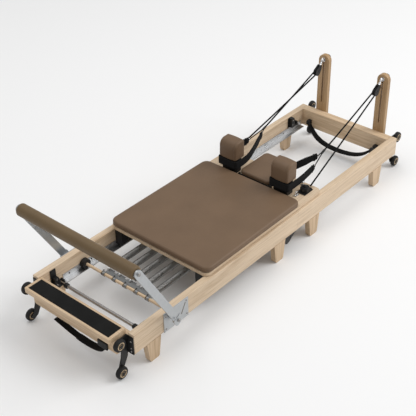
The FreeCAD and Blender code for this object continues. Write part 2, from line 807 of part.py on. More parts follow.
# ---------------------------------------------------------------- risers, pulleys and ropes
def riser(name, side):
    """A slotted upright with a rounded top, on the outer face of the head end board."""
    body = new_body(name)
    sketch = new_sketch(body, "YZ_Plane", "Face")
    half = size("riser_width") / 2
    tall = size("riser_top") - RAIL_LOW
    shoulder = tall - half
    corners = [vector(-half, 0, 0), vector(half, 0, 0), vector(half, shoulder, 0), vector(-half, shoulder, 0)]
    bottom = sketch.addGeometry(Part.LineSegment(corners[0], corners[1]), False)
    right = sketch.addGeometry(Part.LineSegment(corners[1], corners[2]), False)
    top = sketch.addGeometry(Part.Arc(corners[2], vector(0, tall, 0), corners[3]), False)
    left = sketch.addGeometry(Part.LineSegment(corners[3], corners[0]), False)
    # an arc runs anticlockwise, so its first point is the right-hand one
    for kind, joint in (
        ("Coincident", (bottom, 2, right, 1)),
        ("Tangent", (right, 2, top, 1)),
        ("Tangent", (top, 2, left, 1)),
        ("Coincident", (left, 2, bottom, 1)),
    ):
        sketch.addConstraint(Sketcher.Constraint(kind, *joint))
    sketch.addConstraint(Sketcher.Constraint("Symmetric", bottom, 1, bottom, 2, -2))
    sketch.addConstraint(Sketcher.Constraint("PointOnObject", bottom, 1, -1))
    sketch.addConstraint(Sketcher.Constraint("Vertical", right))
    sketch.addConstraint(Sketcher.Constraint("Vertical", left))
    hold(sketch, "DistanceX", (bottom, 1, bottom, 2), "wide", "riser_width")
    hold(sketch, "DistanceY", (right, 1, right, 2), "straight", "riser_top - leg_height - riser_width / 2")
    board = pad(body, sketch, "riser_thick")
    slot = new_sketch(body, "YZ_Plane", "Slot")
    draw_rectangle(slot, "riser_slot", "slot_high - slot_low", low="slot_low - leg_height")
    cut = pocket(body, slot)
    long_edges = [f"Edge{number}" for number, edge in enumerate(cut.Shape.Edges, start=1)
                  if runs_along(edge, AXIS_Z) and abs(edge.CenterOfMass.y) > half - 0.1]
    feature = body.newObject("PartDesign::Fillet", "Soft")
    feature.Base = (cut, long_edges)
    bind(feature, Radius="rail_round")
    doc.recompute()
    sign = "" if side > 0 else "-"
    place(body, "frame_length", f"{sign} riser_spacing / 2", "leg_height")
    return body


def risers():
    group("risers", [riser(f"riser_{name}", side) for name, side in SIDES.items()])


def pulleys():
    """Eye bolts through the riser slots, with a two-cheek block hung from each towards the rope."""
    across, eye = size("riser_spacing") / 2, size("eye_height")
    at, height = END_FACE - size("sheave_ahead"), size("sheave_height")
    cheek_gap, cheek = 7.5, 3
    sheave = size("sheave_radius")
    bolt_end = END_FACE + size("riser_thick") + 22
    eye_at = END_FACE - 16
    run = math.hypot(eye_at - at, eye - height)
    along = ((eye_at - at) / run, (eye - height) / run)
    half = 24
    aside = (-along[1] * half, along[0] * half)
    far = (at + along[0] * 26, height + along[1] * 26)
    near = (at - along[0] * 8, height - along[1] * 8)
    ends = [
        (near[0] + aside[0], near[1] + aside[1]), (far[0] + aside[0] * 0.6, far[1] + aside[1] * 0.6),
        (far[0] - aside[0] * 0.6, far[1] - aside[1] * 0.6), (near[0] - aside[0], near[1] - aside[1]),
    ]
    rounds = {
        1: (far[0] + along[0] * half * 0.5, far[1] + along[1] * half * 0.5),
        3: (near[0] - along[0] * half, near[1] - along[1] * half),
    }
    wire = outline(ends, rounds)
    inner = plate(wire, across - cheek_gap - cheek, across - cheek_gap)
    outer = plate(wire, across + cheek_gap, across + cheek_gap + cheek)
    yoke_at = (at + along[0] * 28, height + along[1] * 28)
    yoke = bar(5, (yoke_at[0], across - cheek_gap, yoke_at[1]), (yoke_at[0], across + cheek_gap, yoke_at[1]))
    axle = bar(3, (at, across - cheek_gap - cheek - 2, height), (at, across + cheek_gap + cheek + 2, height))
    link = bar(4, (yoke_at[0], across, yoke_at[1]), (eye_at, across, eye))
    knuckle = Part.makeSphere(8, vector(eye_at, across, eye))
    bolt = bar(4, (eye_at, across, eye), (bolt_end, across, eye))
    washer = bar(13, (END_FACE - 3, across, eye), (END_FACE, across, eye))
    block = inner.fuse([outer, yoke, axle, link, knuckle, bolt, washer]).removeSplitter()
    made("pulley_blocks", both_sides(block))

    groove = size("rope_thick") / 2
    groove_gap = 1.2
    bore = 3 + size("running_gap")
    width = cheek_gap - 0.5
    rim = sheave + 5.5
    disc = bar(rim, (at, across - width, height), (at, across + width, height))
    ring = Part.makeTorus(sheave + groove, groove + groove_gap, vector(at, across, height), AXIS_Y)
    disc = disc.cut(ring).cut(bar(bore, (at, across - 20, height), (at, across + 20, height)))
    knob_start = END_FACE + size("riser_thick") + 0.5
    thread_gap = 0.3
    knob = bar(17, (knob_start, across, eye), (knob_start + 20, across, eye))
    knob = knob.makeFillet(3, [edge for edge in knob.Edges if edge.Curve.TypeId == "Part::GeomCircle"])
    knob = knob.cut(bar(4 + thread_gap, (knob_start - 1, across, eye), (bolt_end + 3, across, eye)))
    for name, side in SIDES.items():
        made(f"sheave_{name}", disc if side > 0 else mirrored(disc))
        made(f"riser_knob_{name}", knob if side > 0 else mirrored(knob))


ROPE_FOOT = (1437, 271, 262)     # where a rope leaves its lock on the carriage
ROPE_LOOP = (1641, 205, 356)     # where the other end of the rope is tied to the hand loop


def touch(start, centre, radius, upper):
    """Where a line from a point touches a circle in the XZ plane, on its upper or lower side."""
    to_x, to_z = centre[0] - start[0], centre[1] - start[1]
    distance = math.hypot(to_x, to_z)
    swing = math.asin(radius / distance)
    heading = math.atan2(to_z, to_x) + (swing if upper else -swing)
    reach = math.sqrt(distance ** 2 - radius ** 2)
    return start[0] + reach * math.cos(heading), start[1] + reach * math.sin(heading)


def rope():
    """A rope pulled tight: from its lock, round the head side of the sheave and back to the loop."""
    across = size("riser_spacing") / 2
    at, height = END_FACE - size("sheave_ahead"), size("sheave_height")
    half = size("rope_thick") / 2
    radius = size("sheave_radius") + half
    lock, loop = vector(*ROPE_FOOT), vector(*ROPE_LOOP)
    low_x, low_z = touch((lock.x, lock.z), (at, height), radius, upper=False)
    high_x, high_z = touch((loop.x, loop.z), (at, height), radius, upper=True)
    low, high = vector(low_x, across, low_z), vector(high_x, across, high_z)
    lower_run = bar(half, tuple(lock), tuple(low))
    bend = Part.Wire([
        Part.Arc(low, vector(at + radius, across, height), high).toShape(),
        Part.LineSegment(high, loop).toShape(),
    ])
    start_face = vector(low.x - at, 0, low.z - height).cross(AXIS_Y)
    section = Part.Wire([Part.Circle(low, start_face, half).toShape()])
    upper_run = bend.makePipeShell([section], True, False)
    solid = lower_run.fuse([upper_run, Part.makeSphere(half + 0.06, low)]).removeSplitter()
    length = (low - lock).Length + bend.Length
    expected = math.pi * half ** 2 * length
    print(f"rope: length {length:.0f}, bend radius {radius:.1f}, volume {solid.Volume / expected:.4f}")
    return solid


# ---------------------------------------------------------------- straps
def strap(label, front, half_chord, middle, top, sag, extras):
    """A webbing strap that hangs in a round bow between two fixings; extras are its other solids."""
    radius = (half_chord ** 2 + sag ** 2) / (2 * sag)
    thick, width = size("strap_thick"), size("strap_width")
    start, end = vector(front, middle - half_chord, top), vector(front, middle + half_chord, top)
    lowest = vector(front, middle, top - sag)
    inward = vector(0, thick, 0)
    wire = Part.Wire([
        Part.Arc(start, lowest, end).toShape(),
        Part.LineSegment(end, end - inward).toShape(),
        Part.Arc(end - inward, lowest + vector(0, 0, thick), start + inward).toShape(),
        Part.LineSegment(start + inward, start).toShape(),
    ])
    band = Part.Face(wire).extrude(vector(width, 0, 0))
    length = 2 * radius * math.asin(half_chord / radius)
    print(f"{label}: length {length:.0f}, bow radius {radius:.0f}")
    made(label, band.fuse(extras).removeSplitter())


def straps():
    width = size("strap_width")
    beam_face = -size("beam_front")
    foot_front = beam_face - 6
    buckle = box((foot_front - 4, -222, RAIL_LOW - 6), (beam_face, -158, RAIL_LOW + 30))
    strap("foot_strap", foot_front, 167, -45, RAIL_LOW, 57, [buckle])

    board_face = END_FACE - size("end_board_thick")
    fixings = [
        box((board_face - 30, side * 240 - 12, 150), (board_face, side * 240 + 12, 172))
        for side in SIDES.values()
    ]
    strap("head_strap", board_face - width, 244, 0, 161, 121, fixings)


# ---------------------------------------------------------------- carriage
def carriage_board():
    body = new_body("carriage_board")
    sketch = new_sketch(body, "XY_Plane", "Plan")
    draw_rectangle(sketch, "carriage_length", "carriage_width", left="0")
    board = pad(body, sketch, "board_thick")
    round_edges(body, board, "pad_corner * 0.7", lambda edge: runs_along(edge, AXIS_Z))
    place(body, "carriage_start", "0", "leg_height + rail_height + carriage_lift")
    keep(body, "carriage_board")

    cushion = new_body("carriage_pad")
    sketch = new_sketch(cushion, "XY_Plane", "Plan")
    draw_rectangle(sketch, "pad_length", "pad_width", left="0")
    block = pad(cushion, sketch, "pad_thick")
    block = round_edges(cushion, block, "pad_corner", lambda edge: runs_along(edge, AXIS_Z))
    highest = size("pad_thick")
    round_edges(cushion, block, "pad_thick * 0.3", lambda edge: edge.CenterOfMass.z > highest - 0.1)
    place(cushion, "carriage_start", "0", "leg_height + rail_height + carriage_lift + board_thick")
    keep(cushion, "carriage_pad")


def shoulder_rests():
    """Padded blocks on black posts, one each side of the neck."""
    front, depth, width = size("rest_front"), size("rest_depth"), size("rest_width")
    middle = size("rest_spacing") / 2
    low = BOARD_TOP + size("rest_base_height")
    high = low + size("rest_height")
    block = box((front, middle - width / 2, low), (front + depth, middle + width / 2, high))
    brow = [edge for edge in block.Edges
            if runs_along(edge, AXIS_Y) and edge.CenterOfMass.z > high - 1 and edge.CenterOfMass.x < front + 1]
    block = block.makeFillet(42, brow)
    block = block.makeFillet(9, [edge for edge in block.Edges if edge.CenterOfMass.z > low + 1])
    inset = 16
    post = box(
        (front + inset, middle - width / 2 + inset, BOARD_TOP),
        (front + depth - inset, middle + width / 2 - inset, low),
    )
    for name, side in SIDES.items():
        made(f"shoulder_rest_{name}", block if side > 0 else mirrored(block))
    made("shoulder_bases", both_sides(post))


def hand_loops():
    """Webbing loops parked round the shoulder bases and drawn to a ring where the rope is tied."""
    tape, tall, low = 3, 42, BOARD_TOP + 43
    front, back = size("rest_front") + 1.5, size("rest_front") + size("rest_depth") + 2
    middle, half = size("rest_spacing") / 2, size("rest_width") / 2 - 1.5
    near, far = middle - half, middle + half
    tip = vector(1600, 205, 318)
    band = box((front, near, low), (back, far, low + tall)).cut(
        box((front + tape, near + tape, low - 1), (back + 1, far - tape, low + tall + 1))
    )

    def run_of_tape(across, tip_across):
        """A length of tape on edge that climbs from the band to the tip."""
        start, end = vector(back - 2, across, low), vector(tip.x, tip_across, tip.z)
        upwards = vector(0, 0, tall)
        wire = Part.makePolygon([start, end, end + upwards * 0.7, start + upwards, start])
        return Part.Face(wire).extrude(vector(0, tape, 0))

    runs = [run_of_tape(near, tip.y - 9), run_of_tape(far - tape, tip.y + 6)]
    stitched = box((tip.x - 14, tip.y - 9, tip.z), (tip.x + 10, tip.y + 9, tip.z + tall * 0.7))
    loop = band.fuse(runs + [stitched]).removeSplitter()
    ring = Part.makeTorus(13, 2.5, vector(tip.x + 24, tip.y, tip.z + tall), AXIS_Y)
    made("hand_loops", Part.makeCompound([loop, ring, mirrored(loop), mirrored(ring)]))


def headrest():
    """The headrest turns on a pin at its foot-side edge, between two blocks on the carriage."""
    front, half = size("headrest_front"), size("headrest_width") / 2
    thick, pin = size("headrest_board"), size("headrest_pin") / 2
    low = BOARD_TOP + 1
    pivot_x, pivot_z = front + thick / 2, low + thick / 2
    board_half = half - 8
    cheek = box((pivot_x - 8, 104, BOARD_TOP), (pivot_x + 8, 112, 264))
    shaft = bar(pin, (pivot_x, -112, pivot_z), (pivot_x, 112, pivot_z))
    made("headrest_hinge", shaft.fuse([cheek, mirrored(cheek)]).removeSplitter())

    board = box((pivot_x, -board_half, low), (front + size("headrest_length") - 12, board_half, low + thick))
    nose = bar(thick / 2, (pivot_x, -board_half, pivot_z), (pivot_x, board_half, pivot_z))
    bore = bar(pin + size("running_gap"), (pivot_x, -half, pivot_z), (pivot_x, half, pivot_z))
    board = board.fuse(nose).cut(bore).removeSplitter()
    high = low + thick
    top = high + size("headrest_thick")
    cushion = box((front, -half, high), (front + size("headrest_length"), half, top))
    cushion = cushion.makeFillet(26, [edge for edge in cushion.Edges if runs_along(edge, AXIS_Z)])
    cushion = cushion.makeFillet(9, [edge for edge in cushion.Edges if edge.CenterOfMass.z > top - 0.1])
    made("headrest", Part.makeCompound([board, cushion]))


def rope_locks():
    """A base with a guide and a post, and the knob that turns on it, on each head corner of the board."""
    at, across = 1390, 269
    lobe, knob_low, knob_high = 27, BOARD_TOP + 6, BOARD_TOP + 32
    base = box((at - 34, across - 30, BOARD_TOP), (at + 40, across + 24, BOARD_TOP + 5))
    guide = box((at + 34, across - 10, BOARD_TOP + 4), (at + 43, across + 16, BOARD_TOP + 8))
    post = bar(5, (at, across, BOARD_TOP + 4), (at, across, knob_high + 4))
    made("rope_lock_bases", both_sides(base.fuse([guide, post]).removeSplitter()))

    knob = bar(lobe - 5, (at, across, knob_low), (at, across, knob_high))
    for number in range(6):
        turn = math.radians(60 * number)
        x, y = at + (lobe - 7) * math.cos(turn), across + (lobe - 7) * math.sin(turn)
        knob = knob.fuse(bar(7, (x, y, knob_low + 4), (x, y, knob_high - 4)))
    knob = knob.cut(bar(5 + size("running_gap"), (at, across, BOARD_TOP), (at, across, knob_high + 9)))
    knob = knob.removeSplitter()
    for name, side in SIDES.items():
        made(f"rope_lock_knob_{name}", knob if side > 0 else mirrored(knob))


def running_gear():
    """Roller hangers under the board, the rollers on their pins and the bar that anchors the springs."""
    pin, radius = size("roller_pin") / 2, size("roller_radius")
    axle_height = LEDGE_TOP + 0.3 + radius
    roller_out = TRACK_FACE - 2
    roller_in = roller_out - size("roller_width")
    web_out = roller_in - 6
    web_in = web_out - 6
    hangers = []
    for at, outward in ((size("front_roller"), -1), (size("rear_roller"), 1)):
        near, far = sorted((at - outward * 36, at + outward * 45))
        cap = box((near, web_in - 14, BOARD_LOW - 4), (far, roller_out, BOARD_LOW))
        web = box((near, web_in, axle_height - 12), (far, web_out, BOARD_LOW))
        end_near, end_far = sorted((at + outward * 41, at + outward * 45))
        end_plate = box((end_near, web_in - 14, axle_height - 8), (end_far, roller_out, BOARD_LOW))
        shaft = bar(pin, (at, web_in, axle_height), (at, roller_out + 1.5, axle_height))
        spacer = bar(pin + 4, (at, web_in, axle_height), (at, roller_in - 0.3, axle_height))
        hangers.append(cap.fuse([web, end_plate, shaft, spacer]).removeSplitter())
    made("roller_hangers", Part.makeCompound(hangers + [mirrored(hanger) for hanger in hangers]))

    for label, at in (("front_rollers", size("front_roller")), ("rear_rollers", size("rear_roller"))):
        disc = bar(radius, (at, roller_in, axle_height), (at, roller_out, axle_height))
        disc = disc.makeFillet(2, [edge for edge in disc.Edges if edge.Curve.TypeId == "Part::GeomCircle"])
        bore_radius = pin + size("running_gap")
        bore = bar(bore_radius, (at, roller_in - 1, axle_height), (at, roller_out + 1, axle_height))
        made(label, both_sides(disc.cut(bore)))

    face = size("spring_end") + 26
    web = box((face, -172, size("spring_height") - 14), (face + 6, 172, BOARD_LOW))
    flange = box((face, -172, BOARD_LOW - 5), (face + 44, 172, BOARD_LOW))
    made("spring_anchor_bar", web.fuse(flange).removeSplitter())


rails()
legs()
foot_end_beam()
leg_ties()
head_end_board()
platform()
tracks()
rod_hooks()
gear_rod()
spring_bar()
springs()
footbar_side_plates()
footbar()
end_wheels()
fold_hinges()
risers()
pulleys()
made("ropes", both_sides(rope()))
straps()
carriage_board()
shoulder_rests()
hand_loops()
headrest()
rope_locks()
running_gear()

# ---------------------------------------------------------------- check and write
doc.recompute()
for thing in doc.Objects:
    if "Invalid" in thing.State or "Error" in thing.State:
        raise RuntimeError(f"{thing.Label} failed: {thing.State}")
os.makedirs("parts", exist_ok=True)
for node in nodes:
    if node.Shape.isNull() or not node.Shape.isValid():
        raise RuntimeError(f"{node.Label} has no valid shape")
    node.Shape.exportStep(f"parts/{node.Label}.step")
print(f"{len(nodes)} nodes written")
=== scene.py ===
"""The looks of the folding pilates reformer: materials, pads, springs, ropes, wheels, fasteners."""

import math

import bmesh
import bpy
from mathutils import Matrix, Vector


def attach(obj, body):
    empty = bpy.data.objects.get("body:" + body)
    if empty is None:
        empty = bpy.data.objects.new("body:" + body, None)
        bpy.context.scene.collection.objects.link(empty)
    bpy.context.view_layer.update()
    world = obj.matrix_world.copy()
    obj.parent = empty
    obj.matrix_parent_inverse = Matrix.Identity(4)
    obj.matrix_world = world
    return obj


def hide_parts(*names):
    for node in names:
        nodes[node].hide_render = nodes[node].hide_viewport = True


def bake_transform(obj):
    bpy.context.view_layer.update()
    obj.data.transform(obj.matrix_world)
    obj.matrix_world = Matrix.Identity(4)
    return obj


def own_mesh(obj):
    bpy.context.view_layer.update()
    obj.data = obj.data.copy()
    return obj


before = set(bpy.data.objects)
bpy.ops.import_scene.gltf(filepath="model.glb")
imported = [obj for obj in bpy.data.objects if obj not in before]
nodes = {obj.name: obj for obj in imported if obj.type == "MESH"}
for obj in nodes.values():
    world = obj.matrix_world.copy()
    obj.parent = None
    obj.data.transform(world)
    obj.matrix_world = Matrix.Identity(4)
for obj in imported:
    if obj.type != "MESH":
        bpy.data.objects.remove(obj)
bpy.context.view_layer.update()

CENTRE = 1.110          # from the foot end of the rails to the frame's origin, metres
SIDES = {"left": 1, "right": -1}
ALONG, ACROSS, UP = Vector((1, 0, 0)), Vector((0, 1, 0)), Vector((0, 0, 1))


def at(x, y, z):
    """A point given in millimetres from the foot end of the rails, the middle and the floor."""
    return Vector((x / 1000 - CENTRE, y / 1000, z / 1000))


# ---------------------------------------------------------------- camera
def add_camera():
    """The camera in front of the foot end's right corner, looking down along the machine."""
    place = Vector((-3.204, -2.613, 3.044))
    yaw, pitch, roll = 0.7169, 0.6067, -0.0169
    level = math.cos(pitch)
    ahead = Vector((level * math.cos(yaw), level * math.sin(yaw), -math.sin(pitch)))
    right = ahead.cross(UP).normalized()
    up = right.cross(ahead)
    turned_right = math.cos(roll) * right + math.sin(roll) * up
    turned_up = -math.sin(roll) * right + math.cos(roll) * up
    camera = bpy.data.objects.new("camera", bpy.data.cameras.new("camera"))
    bpy.context.scene.collection.objects.link(camera)
    turn = Matrix((turned_right, turned_up, -ahead)).transposed().to_4x4()
    camera.matrix_world = Matrix.Translation(place) @ turn
    camera.data.sensor_width = 36
    camera.data.lens = 80.8
    bpy.context.scene.camera = camera


add_camera()
bpy.context.scene.view_settings.view_transform = "Standard"


# ---------------------------------------------------------------- materials
def new_material(name, color, rough, metallic=0.0, coat=0.0, sheen=0.0, specular=0.5):
    """A principled material and its node tree's three handles."""
    material = bpy.data.materials.new(name)
    material.use_nodes = True
    tree = material.node_tree
    shader = tree.nodes["Principled BSDF"]
    shader.inputs["Base Color"].default_value = (*color, 1)
    shader.inputs["Roughness"].default_value = rough
    shader.inputs["Metallic"].default_value = metallic
    shader.inputs["Coat Weight"].default_value = coat
    shader.inputs["Sheen Weight"].default_value = sheen
    shader.inputs["Specular IOR Level"].default_value = specular
    material.diffuse_color = (*color, 1)
    return material, tree, shader


def noise(tree, scale, detail=3.0, rough=0.5, stretch=(1, 1, 1), distortion=0.0):
    """A noise in object space, stretched by axis; returns its factor output."""
    place = tree.nodes.new("ShaderNodeTexCoord")
    mapping = tree.nodes.new("ShaderNodeMapping")
    mapping.inputs["Scale"].default_value = stretch
    texture = tree.nodes.new("ShaderNodeTexNoise")
    texture.inputs["Scale"].default_value = scale
    texture.inputs["Detail"].default_value = detail
    texture.inputs["Roughness"].default_value = rough
    texture.inputs["Distortion"].default_value = distortion
    tree.links.new(place.outputs["Object"], mapping.inputs["Vector"])
    tree.links.new(mapping.outputs["Vector"], texture.inputs["Vector"])
    return texture.outputs["Fac"]


def ramp(tree, factor, stops):
    """Colours along a factor; stops are (place, colour)."""
    node = tree.nodes.new("ShaderNodeValToRGB")
    elements = node.color_ramp.elements
    while len(elements) < len(stops):
        elements.new(0.5)
    for element, (place, color) in zip(elements, stops):
        element.position = place
        element.color = (*color, 1)
    tree.links.new(factor, node.inputs["Fac"])
    return node.outputs["Color"]


def mix(tree, first, second, share, mode="MULTIPLY"):
    """Two colours mixed by a share."""
    node = tree.nodes.new("ShaderNodeMix")
    node.data_type = "RGBA"
    node.blend_type = mode
    node.inputs["Factor"].default_value = share
    tree.links.new(first, node.inputs["A"])
    tree.links.new(second, node.inputs["B"])
    return node.outputs["Result"]


def bump(tree, shader, height, strength, distance=0.001):
    """A bump on the shader, on top of any bump it already has."""
    node = tree.nodes.new("ShaderNodeBump")
    node.inputs["Strength"].default_value = strength
    node.inputs["Distance"].default_value = distance
    previous = shader.inputs["Normal"].links
    if previous:
        tree.links.new(previous[0].from_socket, node.inputs["Normal"])
    tree.links.new(height, node.inputs["Height"])
    tree.links.new(node.outputs["Normal"], shader.inputs["Normal"])


def spread(tree, shader, factor, low, high):
    """Roughness that varies between two values with a factor."""
    node = tree.nodes.new("ShaderNodeMapRange")
    node.inputs["To Min"].default_value = low
    node.inputs["To Max"].default_value = high
    tree.links.new(factor, node.inputs["Value"])
    tree.links.new(node.outputs["Result"], shader.inputs["Roughness"])


def wood(name, grain, tint=(1, 1, 1)):
    """Pale lacquered wood with its grain along one axis: 0 is X, 1 is Y and 2 is Z."""
    material, tree, shader = new_material(name, (0.60, 0.46, 0.32), 0.5, coat=0.06)

    def tinted(*color):
        return tuple(c * t for c, t in zip(color, tint))

    stretch = [9.0, 9.0, 9.0]
    stretch[grain] = 0.55
    figure = noise(tree, 3.2, 6.0, 0.62, stretch, 0.6)
    tone = ramp(tree, figure, [
        (0.30, tinted(0.50, 0.365, 0.235)),
        (0.46, tinted(0.62, 0.480, 0.335)),
        (0.60, tinted(0.68, 0.540, 0.390)),
        (0.76, tinted(0.56, 0.420, 0.280)),
    ])
    fine = [150.0, 150.0, 150.0]
    fine[grain] = 3.0
    fibre = noise(tree, 1.6, 5.0, 0.65, fine)
    streak = ramp(tree, fibre, [
        (0.34, (0.70, 0.64, 0.56)), (0.52, (1, 1, 1)), (0.8, (1.06, 1.05, 1.02)),
    ])
    patch = ramp(tree, noise(tree, 1.7, 2.0), [
        (0.35, (0.93, 0.92, 0.90)), (0.65, (1.04, 1.03, 1.02)),
    ])
    color = mix(tree, mix(tree, tone, streak, 0.75), patch, 0.8)
    tree.links.new(color, shader.inputs["Base Color"])
    spread(tree, shader, fibre, 0.42, 0.6)
    bump(tree, shader, fibre, 0.12, 0.0004)
    return material


def shades(color, dark, light):
    """A darker and a lighter shade of a colour; no part of a shade passes 1."""
    return tuple(dark * c for c in color), tuple(min(1, light * c) for c in color)


def leather(name, color):
    """Upholstery leather: a fine pebble grain with soft patches of tone."""
    material, tree, shader = new_material(name, color, 0.5, sheen=0.02, specular=0.28)
    dark, light = shades(color, 0.92, 1.07)
    patch = ramp(tree, noise(tree, 5.0, 3.0), [(0.3, dark), (0.7, light)])
    pebble = tree.nodes.new("ShaderNodeTexVoronoi")
    pebble.inputs["Scale"].default_value = 520
    place = tree.nodes.new("ShaderNodeTexCoord")
    tree.links.new(place.outputs["Object"], pebble.inputs["Vector"])
    speck = ramp(tree, pebble.outputs["Distance"], [
        (0.0, (0.86, 0.86, 0.86)), (0.5, (1.03, 1.03, 1.03)),
    ])
    tree.links.new(mix(tree, patch, speck, 0.8), shader.inputs["Base Color"])
    bump(tree, shader, pebble.outputs["Distance"], 0.22, 0.0003)
    bump(tree, shader, noise(tree, 26.0, 3.0), 0.10, 0.002)
    spread(tree, shader, noise(tree, 60.0, 2.0), 0.42, 0.56)
    return material


def metal(name, color, rough, stretch=(1, 1, 1), wear=0.1):
    """Bare or plated metal with faint brush marks along its stretched axis."""
    material, tree, shader = new_material(name, color, rough, metallic=1.0)
    marks = noise(tree, 40.0, 4.0, 0.6, stretch)
    dark, light = shades(color, 1 - wear, 1 + wear)
    tree.links.new(ramp(tree, marks, [(0.3, dark), (0.7, light)]), shader.inputs["Base Color"])
    spread(tree, shader, marks, max(0.05, rough - 0.08), rough + 0.1)
    bump(tree, shader, marks, 0.05, 0.0003)
    return material


def coated(name, color, rough, grain=220.0, lift=0.15, specular=0.5):
    """Paint, rubber or moulded plastic with a fine texture and slight changes of tone."""
    material, tree, shader = new_material(name, color, rough, specular=specular)
    fine = noise(tree, grain, 3.0)
    dark, light = shades(color, 0.82, 1.25)
    tone = ramp(tree, noise(tree, 14.0, 3.0), [(0.3, dark), (0.75, light)])
    tree.links.new(tone, shader.inputs["Base Color"])
    spread(tree, shader, fine, max(0.05, rough - 0.07), min(1, rough + 0.1))
    bump(tree, shader, fine, lift, 0.0004)
    return material


def weave(name, color, scale):
    """Woven webbing or braid: crossing waves for the yarns."""
    material, tree, shader = new_material(name, color, 0.9, sheen=0.02, specular=0.12)
    place = tree.nodes.new("ShaderNodeTexCoord")
    waves = []
    for direction in ("X", "Z", "Y"):
        wave = tree.nodes.new("ShaderNodeTexWave")
        wave.bands_direction = direction
        wave.inputs["Scale"].default_value = scale
        wave.inputs["Distortion"].default_value = 0.4
        tree.links.new(place.outputs["Object"], wave.inputs["Vector"])
        waves.append(wave.outputs["Color"])
    crossed = mix(tree, waves[0], waves[1], 0.5, "DIFFERENCE")
    cloth = mix(tree, crossed, waves[2], 0.4, "DIFFERENCE")
    dark, light = shades(color, 0.55, 1.5)
    tree.links.new(ramp(tree, cloth, [(0.1, dark), (0.9, light)]), shader.inputs["Base Color"])
    bump(tree, shader, cloth, 0.4, 0.0006)
    return material


WOOD_X = wood("wood_along", 0)
# Painted shade: the crosswise wood is tinted slightly darker and warmer, for its end faces that lie in
# shade.
WOOD_Y = wood("wood_across", 1, (0.97, 0.93, 0.87))
WOOD_Z = wood("wood_upright", 2, (0.90, 0.85, 0.78))
# Painted shade: the risers' wood is tinted much darker than the rest, to match their faces in shade.
RISER_WOOD = wood("wood_risers", 2, (0.66, 0.545, 0.39))
DOWEL = wood("wood_dowel", 1, (1.02, 1.0, 0.96))
LEATHER = leather("brown_leather", (0.155, 0.098, 0.058))
ROLL_LEATHER = leather("roll_leather", (0.142, 0.094, 0.046))
MAT = coated("mat_rubber", (0.010, 0.010, 0.0095), 0.8, 420.0, 0.5, 0.15)
TRACK = metal("track_aluminium", (0.50, 0.505, 0.51), 0.38, (0.03, 1, 1))
PLATE = metal("plate_aluminium", (0.27, 0.275, 0.275), 0.34, (1, 0.05, 1))
SILVER = metal("silver_coat", (0.48, 0.495, 0.505), 0.42, (1, 1, 1), 0.06)
STEEL = metal("rod_steel", (0.33, 0.315, 0.30), 0.18, (1, 0.04, 1))
CHROME = metal("chrome", (0.70, 0.70, 0.70), 0.14)
# Painted shade: the spring steel's dark base colour stands in for the carriage's dark underside
# reflected in the coils.
SPRING = metal("spring_wire", (0.30, 0.295, 0.285), 0.28, (1, 1, 1), 0.10)
BLACK_METAL = coated("black_metal", (0.007, 0.007, 0.0072), 0.42, specular=0.35)
BLACK_PLASTIC = coated("black_plastic", (0.008, 0.008, 0.0082), 0.5, specular=0.35)
RUBBER = coated("tyre_rubber", (0.010, 0.0098, 0.0095), 0.62, 300.0, 0.3, 0.3)
HUB = coated("wheel_hub", (0.44, 0.32, 0.19), 0.42)
WEBBING = weave("webbing", (0.010, 0.010, 0.0103), 260.0)
BRAID = weave("rope_braid", (0.008, 0.008, 0.0082), 340.0)


def dress(material, *names, bevel=0.0, segments=2):
    """Give CAD nodes a material and soften their edges by a bevel of a width in metres."""
    for name in names:
        node = nodes[name]
        node.data.materials.clear()
        node.data.materials.append(material)
        if bevel:
            soften = node.modifiers.new("soft_edges", "BEVEL")
            soften.width = bevel
            soften.segments = segments
            soften.limit_method = "ANGLE"
            soften.angle_limit = math.radians(38)


def dress_by_place(name, materials, choose):
    """Give a CAD node several materials, chosen by the middle of each face."""
    mesh = nodes[name].data
    mesh.materials.clear()
    for material in materials:
        mesh.materials.append(material)
    for face in mesh.polygons:
        face.material_index = choose(face.center)


dress(WOOD_X, "foot_rail_left", "foot_rail_right", "head_rail_left", "head_rail_right",
      bevel=0.0016)
dress(WOOD_X, "carriage_board", bevel=0.0012)
dress(WOOD_Y, "foot_end_beam", "head_end_board", "foot_leg_tie", "head_leg_tie", bevel=0.0012)
dress(WOOD_Y, "platform_board", bevel=0.0025, segments=3)
dress(WOOD_Z, "foot_legs", "head_legs", bevel=0.0025, segments=3)
dress(RISER_WOOD, "risers", bevel=0.0016)
dress(DOWEL, "spring_bar_handle")
dress(MAT, "platform_mat", bevel=0.001)
dress(TRACK, "foot_tracks", "head_tracks")
dress(PLATE, "spring_bar_plate", bevel=0.0006)
dress(STEEL, "gear_rod", bevel=0.001)
dress(SILVER, "footbar_frame", "footbar_side_plates", bevel=0.0007)
dress(BLACK_METAL, "foot_rod_hooks", "head_rod_hooks", "foot_castor_brackets",
      "head_castor_brackets", "foot_hinge_leaves", "head_hinge_leaves", "roller_hangers",
      "spring_anchor_bar", bevel=0.0009)
dress(BLACK_METAL, "headrest_hinge", "shoulder_bases", bevel=0.0015)
dress(BLACK_PLASTIC, "spring_bar_holders", "riser_knob_left", "riser_knob_right",
      "rope_lock_bases", "rope_lock_knob_left", "rope_lock_knob_right", "front_rollers",
      "rear_rollers", bevel=0.0008)
dress(BLACK_PLASTIC, "sheave_left", "sheave_right")
eye_bolt_start = at(2186, 0, 0).x
dress_by_place("pulley_blocks", (BLACK_PLASTIC, CHROME),
               lambda middle: int(middle.x > eye_bolt_start))


# ---------------------------------------------------------------- making meshes
def mesh_piece(name, points, faces, material, body, slot, smooth=True):
    """A mesh object in the row frame that rides on a body."""
    mesh = bpy.data.meshes.new(name)
    mesh.from_pydata([tuple(p) for p in points], [], faces)
    mesh.update()
    work = bmesh.new()
    work.from_mesh(mesh)
    bmesh.ops.recalc_face_normals(work, faces=work.faces)
    work.to_mesh(mesh)
    work.free()
    if smooth:
        mesh.shade_smooth()
    mesh.materials.append(material)
    piece = bpy.data.objects.new(name, mesh)
    bpy.context.scene.collection.objects.link(piece)
    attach(piece, body)
    return piece


